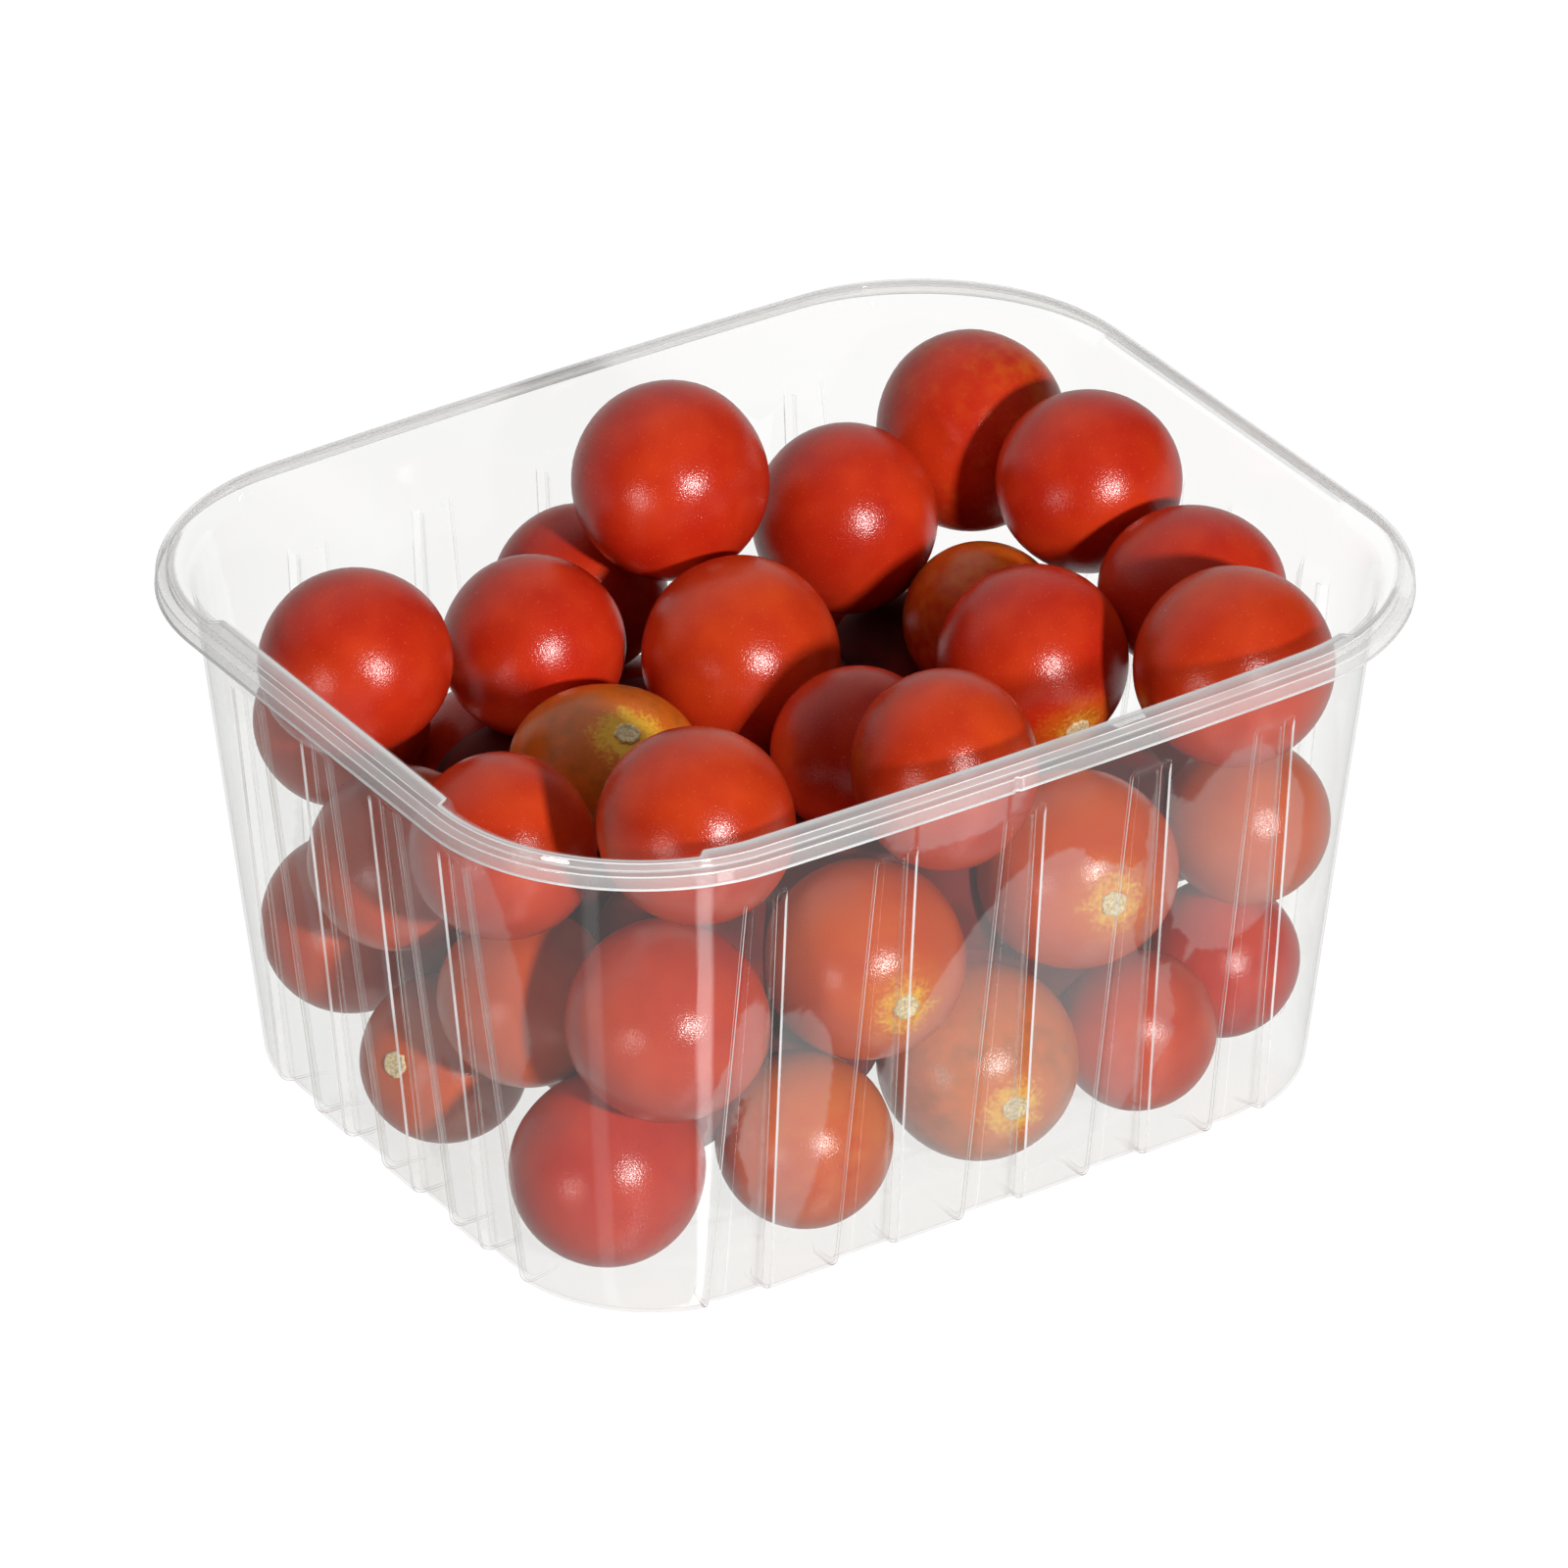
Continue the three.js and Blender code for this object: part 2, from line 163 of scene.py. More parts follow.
class Shader:
    """The node tree of a material or of the world, written as expressions."""

    def __init__(self, owner: bpy.types.Material | bpy.types.World) -> None:
        """Starts an empty tree.

        Args:
            owner: the material or world that it is for.
        """
        self.owner = owner
        owner.use_nodes = True
        self.tree = owner.node_tree
        self.tree.nodes.clear()

    def node(
        self,
        kind: str,
        settings: dict[str, object] | None = None,
        values: dict[str | int, Input] | None = None,
        output: str | int = 0,
    ) -> Wire:
        """Adds a node.

        Args:
            kind: the node's type, without its ShaderNode prefix.
            settings: its properties, set first.
            values: numbers, colours or wires for its inputs, by name, identifier or place.
            output: the output wanted, by name, identifier or place.

        Returns:
            That output as a wire.
        """
        node = self.tree.nodes.new("ShaderNode" + kind)
        for key, value in (settings or {}).items():
            setattr(node, key, value)
        for key, value in (values or {}).items():
            socket = self._find(node.inputs, key)
            if isinstance(value, Wire):
                self.tree.links.new(value.socket, socket)
            elif isinstance(value, tuple) and len(socket.default_value) > len(value):
                socket.default_value = (*value, 1.0)
            else:
                socket.default_value = value
        return Wire(self, self._find(node.outputs, output))

    @staticmethod
    def _find(sockets: bpy.types.bpy_prop_collection, key: str | int) -> bpy.types.NodeSocket:
        """Finds a socket.

        Args:
            sockets: a node's inputs or outputs.
            key: the socket's place, identifier or name.

        Returns:
            The socket.
        """
        if isinstance(key, int):
            return sockets[key]
        for socket in sockets:
            if socket.identifier == key:
                return socket
        return sockets[key]

    def mix(self, factor: Input, first: Input, second: Input) -> Wire:
        """A colour between two, by a factor from 0 to 1."""
        values = {"Factor_Float": factor, "A_Color": first, "B_Color": second}
        return self.node("Mix", {"data_type": "RGBA"}, values, "Result_Color")

    def grain(self, place: Wire, scale: float, detail: float = 2.0) -> Wire:
        """Soft noise, 0 to 1, with about `scale` lumps to each unit of place."""
        values = {"Vector": place, "Scale": scale, "Detail": detail}
        return self.node("TexNoise", None, values, "Fac")

    def part(self, vector: Wire, axis: str) -> Wire:
        """One of a vector's parts: X, Y or Z."""
        return self.node("SeparateXYZ", None, {"Vector": vector}, axis)

    def dot(self, vector: Wire, way: Colour) -> Wire:
        """How far a vector goes along a way."""
        return self.node("VectorMath", {"operation": "DOT_PRODUCT"}, {0: vector, 1: way}, "Value")

    def attribute(self, name: str) -> Wire:
        """A vector that the mesh keeps at its vertices."""
        settings = {"attribute_type": "GEOMETRY", "attribute_name": name}
        return self.node("Attribute", settings, None, "Vector")

    def place(self) -> Wire:
        """The point's own coordinates, in metres."""
        return self.node("TexCoord", None, None, "Object")

    def bump(self, height: Wire, strength: float, distance: float) -> Wire:
        """A normal tilted by a height."""
        values = {"Height": height, "Strength": strength, "Distance": distance}
        return self.node("Bump", None, values, "Normal")

    def finish(self, surface: Wire) -> bpy.types.Material | bpy.types.World:
        """Makes a surface the owner's look.

        Args:
            surface: the surface shader, or the world's background.

        Returns:
            The owner.
        """
        kind = "World" if isinstance(self.owner, bpy.types.World) else "Material"
        output = self.tree.nodes.new("ShaderNodeOutput" + kind)
        self.tree.links.new(surface.socket, output.inputs["Surface"])
        return self.owner


# ---- Finishes ----


@dataclass(frozen=True)
class ClearFilm:
    """Thin clear moulded plastic: mirror gloss, a little haze and painted highlights on its edges.

    The mesh says where: its "trace" holds the painted highlight lines on the edges, the pale
    patches of painted reflection as millimetres inside their outline, and the milkiness of the
    rim, partly the plastic's haze and partly painted reflection. Lumps are to the metre.
    """

    normal_gloss: float = 0.032
    edge_gloss: float = 0.32
    edge_power: float = 5.0
    haze: float = 0.012
    edge_haze: float = 0.04
    # Painted reflection: the haze of the pale patches.
    painted_reflection_haze: float = 0.07
    # Painted highlights: the white haze of the lines on the moulded edges.
    painted_highlight_haze: float = 0.9
    # The rim's milky haze, partly the plastic's own and partly painted reflection.
    rim_haze_and_painted_reflection: float = 0.35
    tint: Colour = (0.981, 0.984, 0.979)
    haze_colour: Colour = (0.95, 0.93, 0.92)
    shade: Colour = (0.98, 0.98, 0.98)
    rim_shade: Colour = (0.72, 0.72, 0.72)
    gloss_roughness: float = 0.02
    milk_roughness: float = 0.5
    fine_lumps: float = 900.0
    flow_lumps: float = 60.0
    flow_bump: tuple[float, float] = (0.25, 0.0006)
    edge_haze_power: float = 3.0
    patch_fray: float = 0.8
    patch_waver: float = 5.0
    patch_edge: tuple[float, float] = (-0.25, 0.25)
    patch_clouds: tuple[float, float] = (0.6, 0.8)
    line_edge: tuple[float, float] = (0.25, 0.8)
    line_clouds: tuple[float, float] = (-0.15, 2.0)

    def material(self) -> bpy.types.Material:
        """Makes the film's material.

        Returns:
            The material.
        """
        shader = Shader(bpy.data.materials.new("clear_plastic"))
        place = shader.place()
        trace = shader.attribute("trace")
        facing = shader.node("LayerWeight", None, {"Blend": 0.5}, "Facing")
        fine = shader.grain(place, self.fine_lumps, 0.0)
        flow = shader.grain(place, self.flow_lumps, 1.0)
        normal = shader.bump(flow, *self.flow_bump)
        gloss = facing**self.edge_power * self.edge_gloss + self.normal_gloss
        # Painted reflection: pale haze in ragged patches, where the walls would mirror the bright
        # table.
        stray = (fine - 0.5) * self.patch_fray
        inside = shader.part(trace, "Y") + stray + (flow - 0.5) * self.patch_waver
        least, more = self.patch_clouds
        reflection_patch = inside.step(*self.patch_edge) * (flow * more + least)
        # Painted highlights: white haze lines along the moulded edges, fainter where the flow is
        # low.
        least, more = self.line_clouds
        faint = (flow * more + least).least(1.0)
        line = shader.part(trace, "X").step(*self.line_edge) * faint
        haze = facing**self.edge_haze_power * self.edge_haze + self.haze
        haze = haze + reflection_patch * self.painted_reflection_haze
        # The rim's milkiness, partly painted reflection.
        haze = haze + shader.part(trace, "Z") * self.rim_haze_and_painted_reflection
        haze = (haze + line * self.painted_highlight_haze).least(1.0)
        clear = shader.node("BsdfTransparent", None, {"Color": self.tint})
        values = {
            "Base Color": self.haze_colour, "Roughness": self.milk_roughness, "Normal": normal,
        }
        milk = shader.node("BsdfPrincipled", None, values)
        values = {"Color": WHITE, "Roughness": self.gloss_roughness, "Normal": normal}
        mirror = shader.node("BsdfAnisotropic", None, values)
        body = shader.node("MixShader", None, {"Fac": haze, 1: clear, 2: milk})
        surface = shader.node("MixShader", None, {"Fac": gloss, 1: body, 2: mirror})
        shade_colour = shader.mix(shader.part(trace, "Z"), self.shade, self.rim_shade)
        shade = shader.node("BsdfTransparent", None, {"Color": shade_colour})
        in_shadow = shader.node("LightPath", None, None, "Is Shadow Ray")
        unseen = in_shadow.most(shader.node("LightPath", None, None, "Is Diffuse Ray"))
        return shader.finish(shader.node("MixShader", None, {"Fac": unseen, 1: surface, 2: shade}))


@dataclass(frozen=True)
class TomatoSkin:
    """Waxy skin: red, with a yellow and green halo round the stem on the less ripe.

    The mesh holds each tomato's "own" place in radii, its stem at z = 1, and its "nature":
    how green it is, how strong its halo and how orange it is. Lumps are to the radius.
    """

    ripe: Colour = (0.53, 0.020, 0.006)
    bright: Colour = (0.68, 0.046, 0.009)
    orange: Colour = (0.70, 0.15, 0.012)
    olive: Colour = (0.25, 0.088, 0.010)
    halo: Colour = (0.88, 0.50, 0.04)
    dots: Colour = (0.85, 0.30, 0.10)
    roughness: float = 0.22
    roughness_spread: float = 0.10
    ior: float = 1.45
    warm_least: float = 0.5
    green_pull: float = 1.4
    streak_pull: float = 0.7
    stem_pull: float = 0.25
    green_start: tuple[float, float] = (0.0, 0.1)
    cloud_lumps: float = 1.6
    streak_lumps: float = 5.0
    fine_lumps: float = 22.0
    dot_lumps: float = 26.0
    pore_lumps: float = 60.0
    pore_bump: tuple[float, float] = (0.6, 0.00007)
    cloud_span: tuple[float, float] = (0.25, 0.85)
    turning_span: tuple[float, float] = (0.1, 0.75)
    olive_span: tuple[float, float] = (0.55, 1.25)
    glow_span: tuple[float, float] = (0.78, 0.99)
    halo_span: tuple[float, float] = (0.92, 1.02)
    halo_growth: float = 0.24
    halo_fray: float = 0.16
    halo_waver: float = 0.1
    dot_size: tuple[float, float] = (0.22, 0.08)
    dot_patches: tuple[float, float] = (0.45, 0.6)
    dot_share: float = 0.28

    def material(self) -> bpy.types.Material:
        """Makes the skin's material.

        Returns:
            The material.
        """
        shader = Shader(bpy.data.materials.new("tomato_skin"))
        own = shader.attribute("own")
        nature = shader.attribute("nature")
        green = shader.part(nature, "X")
        glow = shader.part(nature, "Y")
        to_stem = shader.part(own, "Z")
        clouds = shader.grain(own, self.cloud_lumps)
        fine = shader.grain(own, self.fine_lumps)
        streaks = shader.grain(own, self.streak_lumps)
        colour = shader.mix(clouds.step(*self.cloud_span), self.ripe, self.bright)
        warm = shader.part(nature, "Z") * (self.warm_least + clouds)
        colour = shader.mix(warm.least(1.0), colour, self.orange)
        greenish = green * self.green_pull + (streaks - 0.5) * self.streak_pull
        greenish = greenish + to_stem * self.stem_pull
        greenish = greenish * green.step(*self.green_start)
        colour = shader.mix(greenish.step(*self.turning_span), colour, self.orange)
        colour = shader.mix(greenish.step(*self.olive_span), colour, self.olive)
        reach = to_stem + (fine - 0.5) * self.halo_fray + (streaks - 0.5) * self.halo_waver
        reach = reach + (glow - 1) * self.halo_growth
        strength = glow.least(1.0)
        colour = shader.mix(reach.step(*self.glow_span) * strength, colour, self.orange)
        colour = shader.mix(reach.step(*self.halo_span) * strength, colour, self.halo)
        values = {"Vector": own, "Scale": self.dot_lumps}
        cells = shader.node("TexVoronoi", None, values, "Distance")
        dots = cells.step(*self.dot_size) * fine.step(*self.dot_patches)
        colour = shader.mix(dots * self.dot_share, colour, self.dots)
        pores = shader.grain(own, self.pore_lumps, 1.0)
        values = {
            "Base Color": colour,
            "Roughness": (fine - 0.5) * self.roughness_spread + self.roughness,
            "IOR": self.ior,
            "Normal": shader.bump(pores, *self.pore_bump),
        }
        return shader.finish(shader.node("BsdfPrincipled", None, values))


@dataclass(frozen=True)
class Cork:
    """The dry pale cork of a stem scar, darker in its cracks. Lumps are to the metre."""

    pale: Colour = (0.88, 0.74, 0.46)
    dark: Colour = (0.62, 0.45, 0.20)
    roughness: float = 0.75
    crack_lumps: float = 2600.0
    crack_span: tuple[float, float] = (0.38, 0.6)
    crack_bump: tuple[float, float] = (0.6, 0.0002)

    def material(self) -> bpy.types.Material:
        """Makes the cork's material.

        Returns:
            The material.
        """
        shader = Shader(bpy.data.materials.new("stem_cork"))
        cracks = shader.grain(shader.place(), self.crack_lumps, 4.0)
        colour = shader.mix(cracks.step(*self.crack_span), self.dark, self.pale)
        normal = shader.bump(cracks, *self.crack_bump)
        values = {"Base Color": colour, "Roughness": self.roughness, "Normal": normal}
        return shader.finish(shader.node("BsdfPrincipled", None, values))


@dataclass(frozen=True)
class PaintedShadeRed:
    """Painted shade: the dark between the tomatoes, in the depth of the heap. Lumps are to the
    metre.
    """

    dark: Colour = (0.07, 0.002, 0.001)
    light: Colour = (0.20, 0.007, 0.003)
    roughness: float = 0.8
    cloud_lumps: float = 90.0
    cloud_span: tuple[float, float] = (0.35, 0.65)
    cloud_bump: tuple[float, float] = (0.4, 0.001)

    def material(self) -> bpy.types.Material:
        """Makes the core's material.

        Returns:
            The material.
        """
        shader = Shader(bpy.data.materials.new("painted_shade_red"))
        clouds = shader.grain(shader.place(), self.cloud_lumps, 3.0)
        # Painted shade: much darker than the skin, so that the gaps read as deep shadow.
        colour = shader.mix(clouds.step(*self.cloud_span), self.dark, self.light)
        normal = shader.bump(clouds, *self.cloud_bump)
        values = {"Base Color": colour, "Roughness": self.roughness, "Normal": normal}
        return shader.finish(shader.node("BsdfPrincipled", None, values))


@dataclass(frozen=True)
class WhiteTable:
    """A lit white studio table, so bright that shadows hardly show on it."""

    colour: Colour = (0.2, 0.2, 0.2)
    glow: float = 0.95
    roughness: float = 0.6

    def material(self) -> bpy.types.Material:
        """Makes the table's material.

        Returns:
            The material.
        """
        shader = Shader(bpy.data.materials.new("white_table"))
        values = {
            "Base Color": self.colour,
            "Roughness": self.roughness,
            "Specular IOR Level": 0.0,
            "Emission Color": WHITE,
            "Emission Strength": self.glow,
        }
        return shader.finish(shader.node("BsdfPrincipled", None, values))


def add_piece(name: str, mesh: bmesh.types.BMesh, material: bpy.types.Material) -> bpy.types.Object:
    """Makes a smooth-shaded object of a bmesh, which it frees.

    Args:
        name: the object's name.
        mesh: its shape, in millimetres.
        material: its finish.

    Returns:
        The object, at the origin.
    """
    bmesh.ops.scale(mesh, vec=(MM, MM, MM), verts=mesh.verts)
    data = bpy.data.meshes.new(name)
    mesh.to_mesh(data)
    mesh.free()
    data.shade_smooth()
    data.materials.append(material)
    piece = bpy.data.objects.new(name, data)
    bpy.context.scene.collection.objects.link(piece)
    return piece


# ---- The punnet ----


class Wall(IntEnum):
    """The tub's walls, counter-clockwise as seen from above."""

    RIGHT = 0
    BACK = 1
    LEFT = 2
    FRONT = 3

    @property
    def is_long(self) -> bool:
        """Whether it is one of the two long walls."""
        return self in (Wall.FRONT, Wall.BACK)


@dataclass(frozen=True)
class Outline:
    """Half sizes, corner radius and side bow of the wall's outer face at one height."""

    half_x: float
    half_y: float
    corner: float
    bow: float


@dataclass(frozen=True)
class Station:
    """One upright line of the shell: its wall, groove depth and place along that wall.

    Joint is its share of the mould joint's step, line how strong the painted highlight on its
    moulded edge is, and clear tells that no pale patch of painted reflection crosses it.
    """

    side: Wall
    depth: float
    at_foot: float
    at_rim: float
    joint: float = 0.0
    line: float = 0.0
    clear: bool = False


@dataclass(frozen=True)
class Row:
    """One line round the shell: inset from the outer face, height, and share of the grooves.

    A row of the rim that lies elsewhere in the corners has its place there as well. A row
    of the floor is that line drawn smaller about the middle. Line is how strong the painted
    highlight on its moulded edge is, and milk how milky the rim is there, partly the plastic's
    haze and partly painted reflection.
    """

    inset: float
    z: float
    grooved: float = 0.0
    corner: tuple[float, float] | None = None
    skirt: bool = False
    shrink: float = 1.0
    line: float = 0.0
    milk: float = 0.0


@dataclass(frozen=True)
class PaintedReflectionPatch:
    """A pale patch of painted reflection: its middle along the wall and up, half sizes, lean."""

    side: Wall
    middle: tuple[float, float]
    half: tuple[float, float]
    lean: float = 0.0

    def depth_inside(self, along: float, z: float) -> float:
        """How far inside the patch a place on its wall is.

        Args:
            along: the place along the wall.
            z: its height.

        Returns:
            About how many millimetres it is inside the patch's edge; below 0 when outside.
        """
        up = z - self.middle[1]
        across = along - self.middle[0] - self.lean * up
        way = math.hypot(across / self.half[0], up / self.half[1])
        return (1 - way) * min(self.half)


# The pale patches of painted reflection on the front and left walls.
PAINTED_REFLECTION_PATCHES = (
    PaintedReflectionPatch(Wall.FRONT, (-5, 38), (9, 16), 0.6),
    PaintedReflectionPatch(Wall.FRONT, (6, 22), (22, 16)),
    PaintedReflectionPatch(Wall.FRONT, (10, 41.5), (11, 8)),
    PaintedReflectionPatch(Wall.FRONT, (22.5, 51), (2.2, 9)),
    PaintedReflectionPatch(Wall.FRONT, (34, 45), (11, 16)),
    PaintedReflectionPatch(Wall.FRONT, (-32.5, 27), (6, 19)),
    PaintedReflectionPatch(Wall.FRONT, (-12, 66), (12, 4.5)),
    PaintedReflectionPatch(Wall.FRONT, (-40.5, 36), (2.6, 10), 0.3),
    PaintedReflectionPatch(Wall.LEFT, (-24, 46), (12, 24)),
    PaintedReflectionPatch(Wall.LEFT, (-9.5, 28), (6, 20)),
    PaintedReflectionPatch(Wall.LEFT, (14, 38), (2, 16)),
)


@dataclass
class Punnet:
    """The moulded tub: floor, grooved tapering walls and turned-down rim.

    A groove's flank is a row of lines, each with its place across the flank, its share of the
    groove's depth and the strength of the painted highlight on its moulded edge. The rim's step
    and skirt are lines as well, each with its distance out, its drop from the top and that
    painted highlight. The floor's rises go with shares of its size. The sheet is drawn thinner
    by the slack, so that its corners stay inside the solid tub.
    """

    rim_half_length: float = 71.5
    rim_half_width: float = 58.2
    rim_corner: float = 30.0
    height: float = 73.0
    base_half_length: float = 59.3
    base_half_width: float = 47.8
    base_corner: float = 22.0
    side_bow: float = 1.8
    bow_fade: int = 4
    rim_width: float = 4.4
    sheet: float = 0.35
    slack: float = 0.015
    base_edge: float = 1.5
    groove_depth: float = 1.1
    groove_slope: float = 0.7
    groove_half_top: float = 2.8
    groove_half_base: float = 4.8
    groove_bottom: tuple[float, float] = (1.2, 0.8)
    groove_head: float = 63.5
    groove_fade: tuple[tuple[float, float], ...] = (
        (2.6, 1.0), (2.1, 0.96), (1.7, 0.82), (0.5, 0.18), (0.1, 0.04), (-0.4, 0.0),
    )
    wall_levels: tuple[float, ...] = (
        4.0, 8.0, 13.0, 18.0, 23.0, 28.0, 33.0, 38.0, 43.0, 48.0, 53.0, 57.0, 60.0,
    )
    bare_levels: tuple[float, float, float] = (66.5, 69.0, 68.4)
    long_grooves: tuple[int, float] = (5, 19.2)
    short_grooves: tuple[int, float] = (4, 16.2)
    land_lines: tuple[float, ...] = (-2.6, 0.0, 2.6)
    corner_steps: int = 13
    floor_inset: float = 5.0
    floor_grooved: float = 0.6
    floor_rises: tuple[tuple[float, float], ...] = (
        (0.30, 0.4), (0.52, 0.4), (0.53, 0.36), (0.545, 0.04), (0.555, 0.0), (0.70, 0.0),
        (0.71, 0.04), (0.725, 0.36), (0.735, 0.4), (0.86, 0.4), (0.87, 0.36),
        (0.885, 0.04), (0.895, 0.0),
    )
    edge_steps: int = 5
    lip_round: float = 0.8
    lip_steps: int = 5
    corner_lip: tuple[float, float] = (2.5, 2.9)
    # Each line: distance out, drop from the top, strength of its painted highlight.
    rim_step: tuple[tuple[float, float, float], ...] = (
        (2.5, 0.0, 0.0), (2.66, 0.05, 1.0), (2.76, 0.2, 0.0), (2.86, 0.8, 0.0),
        (2.98, 0.95, 0.7), (3.15, 1.0, 0.0), (3.75, 1.0, 0.0),
    )
    rim_flat: tuple[float, float] = (1.4, 2.35)
    rim_round: float = 0.5
    rim_shoulder: float = 1.5
    # Milkiness of the rim's step, turn and skirt, partly painted reflection.
    rim_milk_and_painted_reflection: tuple[float, float, float] = (0.8, 0.7, 0.6)
    rim_turn: int = 4
    # Each line: distance out past the rim, drop from the top, strength of its painted highlight.
    rim_skirt: tuple[tuple[float, float, float], ...] = (
        (0.12, 2.2, 0.0), (0.22, 2.7, 0.0), (0.27, 2.9, 1.0), (0.30, 3.0, 1.0),
    )
    long_notch: float = 48.3
    short_notch: float = 26.7
    notch_half: float = 0.5
    notch_lines: tuple[float, ...] = (-0.9, -0.5, -0.2, 0.2, 0.5, 0.9)
    joint_place: float = -5.1
    joint_lean: float = 2.3
    joint_step: float = 0.28
    joint_lines: tuple[tuple[float, float], ...] = (
        (-0.5, 0.0), (-0.15, 1.0), (0.15, 1.0), (0.5, 0.0),
    )
    ripple: float = 0.10
    far_share: float = 0.5
    # Each line: place across the flank, share of the depth, strength of its painted highlight.
    flank: tuple[tuple[float, float, float], ...] = (
        (-0.14, 0.0, 0.0), (0.03, 0.03, 1.0), (0.18, 0.18, 0.0),
        (0.82, 0.82, 0.0), (0.97, 0.97, 0.7), (1.14, 1.0, 0.0),
    )
    stations: list[Station] = field(default_factory=list)

    def outline(self, z: float) -> Outline:
        """Works out the wall's outline at a height.

        Args:
            z: the height.

        Returns:
            The outline.
        """
        share = z / self.height
        return Outline(
            half_x=lerp(self.base_half_length, self.rim_half_length - self.rim_width, share),
            half_y=lerp(self.base_half_width, self.rim_half_width - self.rim_width, share),
            corner=lerp(self.base_corner, self.rim_corner - self.rim_width, share),
            bow=self.side_bow * share,
        )

    def _reach(self, side: Wall, z: float) -> float:
        """How far round the corner a wall's own lines go.

        Args:
            side: the wall.
            z: the height.

        Returns:
            The distance along the outline from the wall's middle.
        """
        at = self.outline(z)
        half = at.half_x if side.is_long else at.half_y
        return half - at.corner + at.corner * math.pi / 4

    def _lay_stations(self) -> None:
        """Sets out the upright lines, counter-clockwise from the corner before the right wall."""
        for side in Wall:
            count, pitch = self.long_grooves if side.is_long else self.short_grooves
            last = (count - 1) / 2 * pitch
            foot_edge, rim_edge = last + self.groove_half_base, last + self.groove_half_top
            foot_reach, rim_reach = self._reach(side, 0), self._reach(side, self.height)
            shares = {step / self.corner_steps for step in range(1, self.corner_steps + 1)}
            if side.is_long:
                for offset in self.notch_lines:
                    shares.add((self.long_notch + offset - rim_edge) / (rim_reach - rim_edge))
            corner = [
                (lerp(foot_edge, foot_reach, share), lerp(rim_edge, rim_reach, share))
                for share in sorted(shares)
            ]
            for foot, rim in reversed(corner):
                self.stations.append(Station(side, 0.0, -foot, -rim))
            for groove in range(count):
                middle = groove * pitch - last
                self._lay_groove(side, middle)
                if groove < count - 1:
                    self._lay_land(side, middle + pitch / 2)
            for foot, rim in corner[:-1]:
                self.stations.append(Station(side, 0.0, foot, rim))

    def _lay_groove(self, side: Wall, middle: float) -> None:
        """Adds the lines of one groove's two flanks and its bottom.

        Args:
            side: the groove's wall.
            middle: the groove's place along it.
        """
        slope = self.groove_slope
        half_base, half_top = self.groove_half_base, self.groove_half_top
        at_foot, at_rim = self.groove_bottom
        lines = [(-1, *edge) for edge in self.flank] + [(1, *edge) for edge in reversed(self.flank)]
        for place, (sign, inner, depth, line) in enumerate(lines):
            if place == len(self.flank):
                for hand in (-1, 1):
                    foot, rim = middle + hand * at_foot, middle + hand * at_rim
                    self.stations.append(Station(side, 1.0, foot, rim))
            foot, rim = half_base - inner * slope, half_top - inner * slope
            on_flank = 0.1 < inner < 0.9
            self.stations.append(
                Station(side, depth, middle + sign * foot, middle + sign * rim, 0.0, line, on_flank)
            )

    def _lay_land(self, side: Wall, middle: float) -> None:
        """Adds the lines on the land between two grooves, or the mould joint's lines.

        Args:
            side: the land's wall.
            middle: the land's place along it.
        """
        if side is Wall.FRONT and abs(middle - self.joint_place) < self.short_grooves[1] / 2:
            for offset, joint in self.joint_lines:
                place = self.joint_place + offset
                self.stations.append(Station(side, 0.0, place - self.joint_lean, place, joint))
        else:
            for offset in self.land_lines:
                self.stations.append(Station(side, 0.0, middle + offset, middle + offset))

    def _floor_rows(self) -> list[Row]:
        """Lists the floor's rows: its low steps, from the middle out, and its rounded edge.

        Returns:
            The rows.
        """
        sheet = self.sheet
        rows = [
            Row(self.floor_inset, sheet + rise, shrink=shrink) for shrink, rise in self.floor_rises
        ]
        rows.append(Row(self.floor_inset, sheet, self.floor_grooved))
        for step in range(self.edge_steps + 1):
            turn = step / self.edge_steps * math.pi / 2
            inset = sheet + self.base_edge * (1 - math.sin(turn))
            rows.append(Row(inset, sheet + self.base_edge * (1 - math.cos(turn)), 1.0))
        return rows

    def _wall_rows(self) -> list[Row]:
        """Lists the rows of the wall with its grooves, up to the lip.

        Returns:
            The rows.
        """
        rows = [Row(self.sheet, z, 1.0) for z in self.wall_levels]
        rows += [
            Row(self.sheet, self.groove_head - drop, grooved) for drop, grooved in self.groove_fade
        ]
        lower, upper, upper_in_corner = self.bare_levels
        rows.append(Row(self.sheet, lower))
        rows.append(Row(self.sheet, upper, corner=(self.sheet, upper_in_corner)))
        return rows

    def _rim_rows(self) -> list[Row]:
        """Lists the rows of the lip, the stepped top of the rim and its turned-down skirt.

        Returns:
            The rows.
        """
        rows = []
        sheet, top = self.sheet, self.height
        low = top - self.lip_round
        corner_across, corner_drop = self.corner_lip
        for step in range(self.lip_steps + 1):
            turn = step / self.lip_steps * math.pi / 2
            across, up = 1 - math.cos(turn), math.sin(turn)
            inset, z = sheet - self.lip_round * across, low + self.lip_round * up
            corner = (sheet - corner_across * across, top - corner_drop + corner_drop * up)
            last = float(step == self.lip_steps)
            rows.append(Row(inset, z, corner=corner, line=last, milk=last))
        flat, corner_flat = self.rim_flat
        # The milk of these rows is partly painted reflection.
        step_milk, turn_milk, skirt_milk = self.rim_milk_and_painted_reflection
        rows.append(Row(-flat, top, corner=(-corner_flat, top), milk=1.0))
        rows += [
            Row(-out, top - drop, line=line, milk=step_milk) for out, drop, line in self.rim_step
        ]
        for step in range(1, self.rim_turn + 1):
            turn = step / self.rim_turn * math.pi / 2
            inset = self.rim_round - self.rim_width - self.rim_round * math.sin(turn)
            z = top - self.rim_shoulder + self.rim_round * math.cos(turn)
            rows.append(Row(inset, z, skirt=True, line=float(step == 2), milk=turn_milk))
        rows += [
            Row(-self.rim_width - out, top - drop, skirt=True, line=line, milk=skirt_milk)
            for out, drop, line in self.rim_skirt
        ]
        return rows

